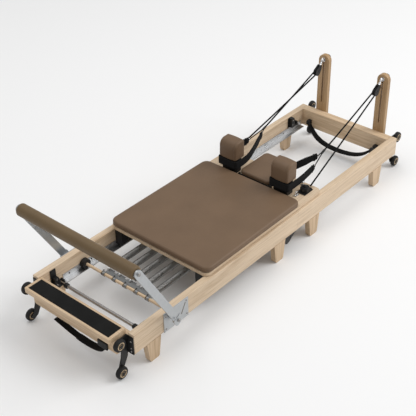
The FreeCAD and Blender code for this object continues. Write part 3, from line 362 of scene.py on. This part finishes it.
def loft(rings, first="flat", last="flat"):
    """Points and faces of a skin over rings of equal length; each end closes flat or in a point."""
    count = len(rings[0])
    points = [p for ring in rings for p in ring]
    faces = []
    for start in range(0, (len(rings) - 1) * count, count):
        for i in range(count):
            j = (i + 1) % count
            faces.append((start + i, start + j, start + count + j, start + count + i))
    for end, base in ((first, 0), (last, (len(rings) - 1) * count)):
        if end == "flat":
            faces.append(tuple(range(base, base + count)))
        else:
            points.append(end)
            faces.extend((base + i, base + (i + 1) % count, len(points) - 1) for i in range(count))
    return points, faces


def add_skin(points, faces, more, more_faces):
    """Add a skin's points and faces to another's lists."""
    base = len(points)
    points += more
    faces += [tuple(i + base for i in face) for face in more_faces]


def quarter_turn(steps=8):
    """Angles over a quarter turn, both ends included."""
    return [math.pi / 2 * k / steps for k in range(steps + 1)]


def circle(middle, radius, first, second, count, points=None):
    """Points round a circle in the plane of two directions; one point above the count closes it."""
    turns = [2 * math.pi * k / count for k in range(points or count)]
    return [middle + radius * (math.cos(turn) * first + math.sin(turn) * second) for turn in turns]


def between(start, end, parts):
    """The points that divide a line in a plane into equal parts, without its ends."""
    return [
        (start[0] + (end[0] - start[0]) * k / parts, start[1] + (end[1] - start[1]) * k / parts)
        for k in range(1, parts)
    ]


def round_rectangle(half_x, half_y, corner, steps, parts):
    """Points round a rectangle anticlockwise: steps in each round corner, parts along each side."""
    points = []
    for number, (sign_x, sign_y) in enumerate(((1, 1), (-1, 1), (-1, -1), (1, -1))):
        x, y = sign_x * (half_x - corner), sign_y * (half_y - corner)
        for k in range(steps + 1):
            turn = math.pi / 2 * (number + k / steps)
            points.append((x + corner * math.cos(turn), y + corner * math.sin(turn)))
    full = []
    for index, point in enumerate(points):
        full.append(point)
        if (index + 1) % (steps + 1) == 0:
            full += between(point, points[(index + 1) % len(points)], parts)
    return full


def tube_rings(path, radius, sides=10):
    """Rings of a round tube along a path, kept from twisting."""
    rings = []
    tangent = (path[1] - path[0]).normalized()
    side = tangent.orthogonal().normalized()
    for index, point in enumerate(path):
        before, after = path[max(index - 1, 0)], path[min(index + 1, len(path) - 1)]
        tangent = (after - before).normalized()
        side = (side - tangent * side.dot(tangent)).normalized()
        rings.append(circle(point, radius, side, tangent.cross(side), sides))
    return rings


def tube(name, path, radius, material, body, slot, sides=10):
    """A round tube along a path, closed at both ends."""
    points, faces = loft(tube_rings(path, radius, sides))
    return mesh_piece(name, points, faces, material, body, slot)


def band_rings(path, across, half_width, half_thick):
    """Rings of a flat band that is wide in the across direction; its sizes go by the point's index."""
    rings = []
    for index, point in enumerate(path):
        before, after = path[max(index - 1, 0)], path[min(index + 1, len(path) - 1)]
        along = (after - before).normalized()
        wide = (across - along * across.dot(along)).normalized()
        thick = along.cross(wide)
        width, depth = half_width(index), half_thick(index)
        outline = round_rectangle(width, depth, min(width, depth) * 0.98, 4, 4)
        rings.append([point + u * wide + v * thick for u, v in outline])
    return rings


def turned(name, profile, middle, axis, material, body, slot, sides=48):
    """A piece turned about an axis; profile is (distance along the axis, radius), in metres."""
    axis = Vector(axis)
    side = axis.orthogonal().normalized()
    other = axis.cross(side)
    rings = [circle(middle + axis * along, radius, side, other, sides) for along, radius in profile]
    points, faces = loft(rings)
    return mesh_piece(name, points, faces, material, body, slot)


def sharpen(piece):
    """Keep edges crisp where faces meet at more than 35 degrees."""
    piece.data.set_sharp_from_angle(angle=math.radians(35))


# ---------------------------------------------------------------- pads
def cushion(name, low, high, material, body, corner, edge, crown, seam):
    """An upholstered pad: side wall with a sewn seam, round top edge and crowned top.

    Corner and edge are the radii in plan and round the top, crown is the rise of the top's middle,
    and seam is the seam's height as a share of the pad's.
    """
    pinch, crown_power, crown_rings = 0.0014, 2.6, 16
    middle = (low + high) / 2
    half = (high - low) / 2
    tall = high.z - low.z
    seam_z = low.z + tall * seam
    wall = [
        (0.006, low.z), (0.0015, low.z + 0.0035), (0.0003, low.z + tall * 0.2),
        (0.0, seam_z - 0.003), (pinch, seam_z - 0.0008), (pinch, seam_z + 0.0008),
        (0.0, seam_z + 0.003),
    ]
    top_edge = high.z - crown
    for turn in quarter_turn():
        wall.append((edge * (1 - math.cos(turn)), top_edge - edge + edge * math.sin(turn)))
    rings = []
    for inset, z in wall:
        corner_left = max(corner - inset, 0.004)
        outline = round_rectangle(half.x - inset, half.y - inset, corner_left, 8, 14)
        rings.append([Vector((middle.x + x, middle.y + y, z)) for x, y in outline])
    border = [(p.x - middle.x, p.y - middle.y) for p in rings[-1]]
    flat_x, flat_y = half.x - edge, half.y - edge

    def crowned(x, y):
        fall_x, fall_y = abs(x / flat_x) ** crown_power, abs(y / flat_y) ** crown_power
        return top_edge + crown * (1 - fall_x) * (1 - fall_y)

    for k in range(1, crown_rings):
        share = 1 - (k / crown_rings) ** 1.15
        rings.append([
            Vector((middle.x + x * share, middle.y + y * share, crowned(x * share, y * share)))
            for x, y in border
        ])
    bottom = Vector((middle.x, middle.y, low.z))
    points, faces = loft(rings, bottom, Vector((middle.x, middle.y, high.z)))
    return mesh_piece(name, points, faces, material, body, "leather")


def carriage_pad():
    """The long cushion that the user lies on."""
    low, high = at(512, -330, 249), at(1271, 330, 284)
    pad = cushion("carriage_cushion", low, high, LEATHER, "carriage",
                  corner=0.042, edge=0.013, crown=0.0035, seam=0.36)
    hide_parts("carriage_pad")


carriage_pad()


def headrest_pieces():
    """The headrest's cushion and the black board under it."""
    low, high = at(1290, -103, 262), at(1533, 103, 293.5)
    soft = cushion("headrest_cushion", low, high, LEATHER, "headrest",
                   corner=0.026, edge=0.011, crown=0.003, seam=0.3)
    outline = round_rectangle(0.1130, 0.095, 0.004, 6, 2)
    middle = at(1408, 0, 0)
    rings = [
        [Vector((middle.x + x * scale, y * scale, z / 1000)) for x, y in outline]
        for scale, z in ((0.985, 250), (1, 251.5), (1, 260.5), (0.985, 262))
    ]
    points, faces = loft(rings)
    board = mesh_piece("headrest_board", points, faces, BLACK_METAL, "headrest", "black_metal",
                       smooth=False)
    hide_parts("headrest")
    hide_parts("headrest")


headrest_pieces()


def shoulder_pad(name, side):
    """A padded block with a large round on its front top edge, sewn near both of its sides."""
    middle_x, half, low, high = 1315, 41, 337, 445
    across, reach_y, edge, bulge = 177, 61, 11, 2.5
    back_round, front_round, low_round = 13, 40, 9
    fullness, fullness_reach = 1.9, 42
    centre_z = (low + high) / 2
    corners = (             # the middle's X and Z, the radius and the first quarter turn
        (half - back_round, high - back_round, back_round, 0),
        (0, high - front_round, front_round, 1),
        (low_round - half, low + low_round, low_round, 2),
        (half - low_round, low + low_round, low_round, 3),
    )

    def arc_point(corner, turn, inset):
        x, z, radius, quarter = corner
        turn += math.pi / 2 * quarter
        reach = max(radius - inset, 1.5)
        shift = inset - (radius - reach)
        return (
            x - math.copysign(shift, x) + reach * math.cos(turn),
            z - math.copysign(shift, z - centre_z) + reach * math.sin(turn),
        )

    def outline(inset):
        points = []
        for corner, next_corner in zip(corners, corners[1:] + corners[:1]):
            points += [arc_point(corner, turn, inset) for turn in quarter_turn(10)]
            points += between(points[-1], arc_point(next_corner, 0, inset), 7)
        return points

    flat = reach_y - bulge
    border = [
        (edge * (1 - math.sin(turn)), edge * (1 - math.cos(turn)) - flat) for turn in quarter_turn()
    ]
    seam = ((-0.2, 14), (1.1, 15), (1.1, 16), (-0.3, 17.2))      # inset, and depth from the side
    border += [(inset, depth - flat) for inset, depth in seam]
    section = border + [
        (-fullness * (1 - (y / fullness_reach) ** 2), y) for y in (-38, -28, -16, 0, 16, 28, 38)
    ]
    section += [(inset, -y) for inset, y in reversed(border)]
    rings = [
        [at(middle_x + x, side * across + y, z) for x, z in outline(inset)]
        for inset, y in section
    ]

    def cap(out):
        caps = []
        for k in range(1, 8):
            share = 1 - k / 8
            y = out * (flat + bulge * (1 - share ** 2.4))
            caps.append([
                at(middle_x + x * share, side * across + y, centre_z + (z - centre_z) * share)
                for x, z in outline(edge)
            ])
        return caps

    points, faces = loft(
        list(reversed(cap(-1))) + rings + cap(1),
        at(middle_x, side * across - reach_y, centre_z),
        at(middle_x, side * across + reach_y, centre_z),
    )
    piece = mesh_piece(f"shoulder_pad_{name}", points, faces, LEATHER, "carriage", "leather")
    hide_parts(f"shoulder_rest_{name}")


for name, side in SIDES.items():
    shoulder_pad(name, side)


def footbar_roll():
    """The padded sleeve with rounded ends."""
    middle, radius, reach, bore, end_round, parts = at(13, 0, 592), 0.032, 0.373, 0.017, 0.010, 24
    one_end = [(-reach, bore)]
    for turn in quarter_turn():
        one_end.append((
            -reach + end_round * (1 - math.cos(turn)), radius - end_round + end_round * math.sin(turn)
        ))
    straight = reach - end_round
    run = [(2 * straight * k / parts - straight, radius) for k in range(1, parts)]
    profile = one_end + run + [(-along, r) for along, r in reversed(one_end)]
    sleeve = turned("footbar_sleeve", profile, middle, ACROSS, ROLL_LEATHER, "footbar", "leather",
                    56)
    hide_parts("footbar_roll")


footbar_roll()


# ---------------------------------------------------------------- springs
SPRING_NUMBERS = range(-2, 3)       # counted from the middle spring
SPRING_GAP = 75                     # from one spring's line to the next, millimetres
SPRING_HEIGHT = 162


def spring(number):
    """One close-wound spring with a plain hook at the carriage and a bent one at the plate."""
    across, height = SPRING_GAP * number, SPRING_HEIGHT
    start, end, radius, wire = 348, 790, 14.8, 0.0022
    pitch, steps = 4.5, 18
    path = []
    for k in range(int((end - start) / pitch * steps) + 1):
        turn = 2 * math.pi * k / steps
        y, z = across + radius * math.cos(turn), height + radius * math.sin(turn)
        path.append(at(start + pitch * k / steps, y, z))
    points, faces = loft(tube_rings(path, wire, 6))
    for x, tip, away in ((start, 324, -1), (end, 816, 1)):
        hook = [
            at(x - away, across + radius * 0.9, height),
            at(x + away * 4, across + radius * 0.4, height + 1),
        ]
        shank = abs(tip - x) - 12
        hook += [at(x + away * (6 + shank * k / 4), across, height) for k in range(5)]
        if away < 0:
            bend = ((-2, -2), (-4, -9), (-1, -15), (6, -16), (10, -11))
            hook += [at(tip + dx, across, height + dz) for dx, dz in bend]
        add_skin(points, faces, *loft(tube_rings(hook, wire, 8)))
    return mesh_piece(f"spring_{number + 3}", points, faces, SPRING, "foot_frame", "rod_steel")


def springs():
    """The five springs, fixed where they were made, in place of the CAD springs."""
    for coil in [spring(number) for number in SPRING_NUMBERS]:
        coil.parent = None      # it was made to ride on the foot frame alone
        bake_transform(coil)
        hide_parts("springs")


springs()


# ---------------------------------------------------------------- ropes, loops and straps
def smooth_path(points, count):
    """Points along a NURBS curve that has the route's points as its controls."""
    curve = bpy.data.curves.new("route", "CURVE")
    curve.dimensions = "3D"
    curve.resolution_u = max(4, count // max(1, len(points) - 1))
    line = curve.splines.new("NURBS")
    line.points.add(len(points) - 1)
    for control, point in zip(line.points, points):
        control.co = (*point, 1)
    line.order_u = 3
    line.use_endpoint_u = True
    holder = bpy.data.objects.new("route", curve)
    bpy.context.scene.collection.objects.link(holder)
    mesh = bpy.data.meshes.new_from_object(holder)
    path = [vertex.co.copy() for vertex in mesh.vertices]
    bpy.data.objects.remove(holder)
    bpy.data.curves.remove(curve)
    bpy.data.meshes.remove(mesh)
    return path


def run_length(path):
    """A path's length, metres."""
    return sum((b - a).length for a, b in zip(path, path[1:]))


ROPE_LINE = 205             # from the middle to the ropes' upper runs, millimetres
SHEAVE = (2158, 523)        # X and Z of the sheave's middle, millimetres
GROOVE = 17.0               # radius of the rope's line on the sheave, millimetres
LOCK_END = (1437, 262)      # X and Z of the lower run's end at the rope lock
LOOP_END = (1641, 356)      # X and Z of the upper run's end at the hand loop
ROPE = 0.009                # the rope's diameter, metres
SAG = Vector((0, 0, -0.003))


def touch(start, upper):
    """Where a straight run from a point touches the rope's circle on the sheave, in X and Z."""
    to_x, to_z = SHEAVE[0] - start[0], SHEAVE[1] - start[1]
    distance = math.hypot(to_x, to_z)
    swing = math.asin(GROOVE / distance)
    heading = math.atan2(to_z, to_x) + (swing if upper else -swing)
    reach = math.sqrt(distance ** 2 - GROOVE ** 2)
    return start[0] + reach * math.cos(heading), start[1] + reach * math.sin(heading)


def rope(name, side):
    """A rope: the run to its lock, the turn round the sheave and the run to the hand loop."""

    def rope_point(place, across=ROPE_LINE):
        return at(place[0], side * across, place[1])

    lock, loop = rope_point(LOCK_END, 271), rope_point(LOOP_END)
    low, high = rope_point(touch(LOCK_END, False)), rope_point(touch(LOOP_END, True))
    past_low = low + (low - lock).normalized() * GROOVE / 1000
    past_high = high + (high - loop).normalized() * GROOVE / 1000
    path = smooth_path([low, past_low, past_high, high], 30)
    turn = tube(f"rope_turn_{name}", path, ROPE / 2, BRAID, "head_frame", "webbing", 12)
    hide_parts("ropes")
    for part, start, end in (("lower", lock, low), ("upper", loop, high)):
        path = smooth_path([start, start.lerp(end, 0.35) + SAG, start.lerp(end, 0.65) + SAG, end], 24)
        piece = tube(f"rope_{part}_{name}", path, ROPE / 2, BRAID, "head_frame", "webbing", 12)
        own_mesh(piece)
        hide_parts("ropes")
        run_length(path)


for name, side in SIDES.items():
    rope(name, side)


def hand_loop(name, side):
    """The webbing parked round a shoulder base, its sewn ends, and the cords from them to the rope."""
    half_thick, full_half, end_half, cord_radius = 0.0034, 0.0240, 0.020, 0.003
    plan = [
        (1524, 228, 322), (1430, 238, 316), (1356, 239, 313), (1298, 239, 313),
        (1273.5, 239, 313), (1273.5, 217, 313), (1273.5, 137, 313), (1273.5, 115, 313),
        (1298, 115, 313), (1356, 115, 313), (1440, 131, 317), (1602, 192, 341),
    ]
    route = [at(x, side * y, z) for x, y, z in plan]
    path = smooth_path(route, 90)
    last = len(path) - 1

    def half_width(index):
        return full_half if 1 < index < last - 1 else end_half

    points, faces = loft(band_rings(path, UP, half_width, lambda index: half_thick))
    webbing = mesh_piece(f"hand_loop_{name}", points, faces, WEBBING, "carriage", "webbing")
    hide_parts("hand_loops")
    run_length(path)
    knot = at(1643, side * ROPE_LINE, 357)
    for part, end, inside in (("outer", path[0], path[3]), ("inner", path[-1], path[-4])):
        out = (end - inside).normalized()
        tail = [end - out * 0.012, end + out * 0.006, end.lerp(knot, 0.5), knot]
        line = smooth_path(tail, 16)
        cord = tube(f"loop_cord_{part}_{name}", line, cord_radius, BRAID, "carriage", "webbing")
        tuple(tail[0])
        run_length(line)
        sewn_end = [end + out * (0.006 * k - 0.022) for k in range(5)]
        points, faces = loft(band_rings(        # it narrows towards the ring
            sewn_end, UP, lambda index: 0.0246 - 0.0028 * index, lambda index: 0.0052
        ))
        mesh_piece(f"loop_end_{part}_{name}", points, faces, WEBBING, "carriage", "webbing")
        ring = circle(end + out * 0.009, 0.008, out, UP, 20, 21)
        tube(f"loop_ring_{part}_{name}", ring, 0.0017, CHROME, "carriage", "rod_steel", 8)
    ferrule = [(-0.016, 0.004), (-0.014, 0.0062), (0.0, 0.0066), (0.014, 0.0062), (0.016, 0.004)]
    along = (at(SHEAVE[0], side * ROPE_LINE, SHEAVE[1]) - knot).normalized()
    turned(f"loop_ferrule_{name}", ferrule, knot, along, BLACK_PLASTIC, "carriage",
           "black_plastic", 20)


for name, side in SIDES.items():
    hand_loop(name, side)


def carrying_strap(name, body, route, node, sleeve_from, sleeve_to):
    """A carrying strap: webbing that hangs in a bow, with a padded sleeve over part of it."""
    bare_thick, sleeve_more, bare_width, sleeve_width = 0.0034, 0.0040, 0.0165, 0.019
    path = smooth_path(route, 72)
    last = len(path) - 1

    def half_thick(index):
        inside = (index / last - sleeve_from) / (sleeve_to - sleeve_from)
        return bare_thick + sleeve_more * max(0, min(1, 8 * min(inside, 1 - inside)))

    def half_width(index):
        return sleeve_width if sleeve_from <= index / last <= sleeve_to else bare_width

    points, faces = loft(band_rings(path, ALONG, half_width, half_thick))
    strap = mesh_piece(name, points, faces, WEBBING, body, "webbing")
    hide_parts(node)
    run_length(path)


def block(name, middle, half, corner, material, body, slot):
    """A small moulded or pressed piece with rounded corners and softened faces."""
    outline = round_rectangle(half.x, half.y, corner, 5, 2)
    levels = ((0.95, 1.0), (0.9875, 0.93), (1.0, 0.8))
    levels = [(scale, -height) for scale, height in levels] + list(reversed(levels))
    rings = [
        [middle + Vector((x * scale, y * scale, half.z * height)) for x, y in outline]
        for scale, height in levels
    ]
    points, faces = loft(rings)
    sharpen(mesh_piece(name, points, faces, material, body, slot))


def straps():
    """The carrying strap under each end, with its fixings."""
    head_bow = ((-240, 164), (-222, 140), (-172, 90), (-110, 60), (-40, 46), (40, 43),
                (110, 50), (170, 73), (214, 118), (240, 160))
    head_route = [at(2146, y, z) for y, z in head_bow]
    carrying_strap("head_strap_webbing", "head_frame", head_route, "head_strap", 0.04, 0.94)
    foot_bow = ((-208, 117), (-190, 92), (-150, 70), (-90, 60), (-20, 61), (50, 72),
                (105, 84), (144, 93))
    foot_route = [at(-41, y, z) for y, z in foot_bow]
    carrying_strap("foot_strap_webbing", "foot_frame", foot_route, "foot_strap", 0.08, 0.62)
    for name, side in SIDES.items():
        block(f"head_strap_fixing_{name}", at(2150, side * 240, 161), Vector((0.016, 0.012, 0.012)),
              0.005, BLACK_PLASTIC, "head_frame", "black_plastic")
    block("foot_strap_buckle", at(-56, -190, 130), Vector((0.005, 0.032, 0.018)), 0.0035,
          BLACK_PLASTIC, "foot_frame", "black_plastic")


straps()


# ---------------------------------------------------------------- wheels
WHEEL_X = {"foot": -63, "head": 2276}      # the wheels' middles, millimetres
WHEEL_Z = {"upper": 200, "lower": 35}
WHEEL_LINE = 310


def end_wheel(end, level, name, side):
    """A tyre on a dished hub with a boss, a bolt and spokes, in place of the plain CAD wheel."""
    middle = at(WHEEL_X[end], side * WHEEL_LINE, WHEEL_Z[level])
    body = f"{end}_{level}_wheel_{name}"

    def two_sided(*half_profile):
        """A profile from one face's middle outwards and back down the other face."""
        return [(-along, r) for along, r in half_profile] + list(reversed(half_profile))

    tyre = two_sided((0.0118, 0.0208), (0.0120, 0.0262), (0.0105, 0.0293), (0.0070, 0.0312),
                     (0.0025, 0.0320))
    rim = turned(f"{body}_tyre", tyre, middle, ACROSS, RUBBER, body, "wheel", 56)
    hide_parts(body)
    hub = two_sided((0.0112, 0.0085), (0.0112, 0.0138), (0.0122, 0.0158), (0.0124, 0.0200),
                    (0.0112, 0.0211))
    sharpen(turned(f"{body}_hub", hub, middle, ACROSS, HUB, body, "wheel", 48))
    boss = two_sided((0.0124, 0.0062), (0.0126, 0.0088), (0.0110, 0.0098))
    sharpen(turned(f"{body}_boss", boss, middle, ACROSS, HUB, body, "wheel", 32))
    bolt = two_sided((0.0150, 0.0035), (0.0146, 0.0044))
    sharpen(turned(f"{body}_bolt", bolt, middle, ACROSS, BLACK_METAL, body, "black_metal", 24))
    spoke_sizes = ((0.0088, 0.0014, 0.0118), (0.0132, 0.0011, 0.0121), (0.0190, 0.0016, 0.0127))
    points, faces = [], []
    for out in circle(Vector(), 1, ALONG, UP, 5):
        flank = Vector((-out.z, 0, out.x))
        rings = [
            [middle + out * reach + flank * half * u + ACROSS * rise * v
             for u, v in ((1, 1), (-1, 1), (-1, -1), (1, -1))]
            for reach, half, rise in spoke_sizes
        ]
        add_skin(points, faces, *loft(rings))
    mesh_piece(f"{body}_spokes", points, faces, RUBBER, body, "wheel", smooth=False)


for end in WHEEL_X:
    for level in WHEEL_Z:
        for name, side in SIDES.items():
            end_wheel(end, level, name, side)


# ---------------------------------------------------------------- fasteners and small fittings
def screw(name, middle, axis, radius, body, material=STEEL, slot="rod_steel", proud=0.0022):
    """A domed screw head with a socket, seated on a face."""
    profile = [(-0.0008, radius), (0.0, radius), (proud * 0.45, radius * 0.96),
               (proud * 0.85, radius * 0.72), (proud, radius * 0.46),
               (proud * 0.35, radius * 0.42)]
    turned(name, profile, middle, axis, material, body, slot, 20)


def fasteners():
    """The screws and bolts on the side plates, brackets, footbar, tracks and hooks."""
    black = BLACK_METAL, "black_metal", 0.0016
    for name, side in SIDES.items():
        out, inward = ACROSS * side, ACROSS * -side
        for number, (x, z) in enumerate(((203, 131), (203, 208), (344, 214), (346, 133))):
            screw(f"plate_screw_{number}_{name}", at(x, side * 344.2, z), out, 0.0052, "foot_frame")
        for number, z in enumerate((127, 146, 186)):
            for end, x, axis in (("foot", -4, -ALONG), ("head", 2224, ALONG)):
                screw(f"{end}_bracket_screw_{number}_{name}", at(x, side * 321, z), axis, 0.0048,
                      f"{end}_frame")
        screw(f"arm_bolt_{name}", at(13, side * 388, 592), out, 0.0085, "footbar", proud=0.005)
        screw(f"pivot_bolt_{name}", at(243, side * 389, 184), out, 0.0095, "foot_frame",
              proud=0.0035)
        for end, places in (("foot", (190, 340, 520, 760, 1000, 1180)),
                            ("head", (1290, 1500, 1780, 1960, 2110))):
            for number, x in enumerate(places):
                screw(f"{end}_track_screw_{number}_{name}", at(x, side * 298, 144), inward, 0.0048,
                      f"{end}_frame", *black)
        for number, z in enumerate((141, 172)):
            for end, x, rise in (("foot", 92, 0), ("head", 2029, 40)):
                screw(f"{end}_hook_screw_{number}_{name}", at(x, side * 276, z + rise), inward,
                      0.0042, f"{end}_frame", proud=0.0016)
        screw(f"end_cap_nut_{name}", at(2220, side * 265, 205), ALONG, 0.011, "head_frame",
              BLACK_PLASTIC, "black_plastic", 0.007)


fasteners()


def rope_lock_fittings(name, side):
    """The polished pin and the open eye beside the black knob, and the knob's cap."""
    pin = [(0.0, 0.012), (0.003, 0.0125), (0.006, 0.009), (0.016, 0.0085), (0.018, 0.0125),
           (0.023, 0.0125), (0.0255, 0.009)]
    turned(f"lock_pin_{name}", pin, at(1436, side * 219, 249), UP, CHROME, "carriage",
           "rod_steel", 28)
    eye = []
    for k in range(25):
        turn = 2 * math.pi * (0.04 + 0.92 * k / 24)
        eye.append(at(1330 + 12 * math.cos(turn), side * 256, 262 + 11 * math.sin(turn)))
    tube(f"lock_eye_{name}", eye, 0.0026, CHROME, "carriage", "rod_steel", 10)
    block(f"lock_eye_foot_{name}", at(1330, side * 256, 251.5), Vector((0.014, 0.009, 0.0025)),
          0.004, CHROME, "carriage", "rod_steel")
    cap = [(0.0, 0.010), (0.0015, 0.0105), (0.004, 0.009), (0.0055, 0.006)]
    turned(f"lock_cap_{name}", cap, at(1390, side * 269, 285), UP, BLACK_PLASTIC, "carriage",
           "black_plastic", 24)


for name, side in SIDES.items():
    rope_lock_fittings(name, side)


def dowel_clips():
    """At each spring: a dark wire clip round the handle, a bright ring in the plate and a rivet."""
    for number in SPRING_NUMBERS:
        across = SPRING_GAP * number
        ring = []
        for k in range(24):
            turn = 2 * math.pi * k / 24
            ring.append(at(
                288 + 9.6 * math.cos(turn), across + 12 + 1.5 * math.sin(turn / 2),
                152 + 9.6 * math.sin(turn)
            ))
        tube(f"dowel_clip_{number + 3}", ring, 0.0016, BLACK_METAL, "foot_frame", "black_metal", 8)
        hook = circle(at(327, across + 7, 155), 0.0095, ALONG, UP, 20, 21)
        tube(f"plate_hook_{number + 3}", hook, 0.0023, CHROME, "foot_frame", "rod_steel")
        screw(f"plate_rivet_{number + 3}", at(306, across + 22, 154), UP, 0.0045, "foot_frame",
              BLACK_METAL, "black_metal", 0.0016)


dowel_clips()


def rod_collars():
    """The black collars that keep the gear rod between its two hooks."""
    collar = [(-0.011, 0.0095), (-0.0105, 0.0125), (-0.008, 0.0142), (0.008, 0.0142),
              (0.0105, 0.0125), (0.011, 0.0095)]
    for name, across in (("left", 246), ("right", -222)):
        turned(f"rod_collar_{name}", collar, at(123, across, 131), ACROSS, BLACK_PLASTIC,
               "foot_frame", "black_plastic", 32)


rod_collars()


def swivels():
    """The bright eye and swivel barrel between each pulley block and its riser."""
    barrel = [(-0.010, 0.0045), (-0.009, 0.0074), (-0.003, 0.0078), (-0.002, 0.0058),
              (0.002, 0.0058), (0.003, 0.0078), (0.009, 0.0074), (0.010, 0.0045)]
    for name, side in SIDES.items():
        eye_middle = at(2205, side * ROPE_LINE, 572)
        block_middle = at(SHEAVE[0], side * ROPE_LINE, SHEAVE[1])
        along = (eye_middle - block_middle).normalized()
        eye = circle(eye_middle, 0.0115, ALONG, UP, 24, 25)
        tube(f"pulley_eye_{name}", eye, 0.0034, CHROME, "head_frame", "rod_steel", 12)
        turned(f"pulley_swivel_{name}", barrel, block_middle + along * 0.044, along, CHROME,
               "head_frame", "rod_steel", 28)


swivels()


# ---------------------------------------------------------------- floor and light
def stage():
    """A wide pale floor, a soft white surround and two large panels of light."""
    reach = 14
    floor = bpy.data.meshes.new("floor")
    corners = [(-reach, -reach, 0), (reach, -reach, 0), (reach, reach, 0), (-reach, reach, 0)]
    floor.from_pydata(corners, [], [(0, 1, 2, 3)])
    plane = bpy.data.objects.new("floor", floor)
    bpy.context.scene.collection.objects.link(plane)
    floor.materials.append(new_material("pale_floor", (0.86, 0.86, 0.86), 0.9, specular=0.1)[0])

    world = bpy.data.worlds.new("studio")
    world.use_nodes = True
    background = world.node_tree.nodes["Background"]
    background.inputs["Color"].default_value = (1, 1, 1, 1)
    background.inputs["Strength"].default_value = 0.52
    bpy.context.scene.world = world

    def panel(name, place, width, height, power):
        """A rectangular area light, in metres and watts, turned towards the machine."""
        light = bpy.data.lights.new(name, "AREA")
        light.shape = "RECTANGLE"
        light.size = width
        light.size_y = height
        light.energy = power
        lamp = bpy.data.objects.new(name, light)
        lamp.location = place
        lamp.rotation_euler = (aim - Vector(place)).to_track_quat("-Z", "Y").to_euler()
        bpy.context.scene.collection.objects.link(lamp)

    aim = Vector((0, 0, 0.2))
    panel("key_light", (5.0, -5.2, 6.8), width=6.0, height=6.0, power=520)
    panel("top_light", (-1.0, 2.0, 8.4), width=8.0, height=6.0, power=240)


stage()
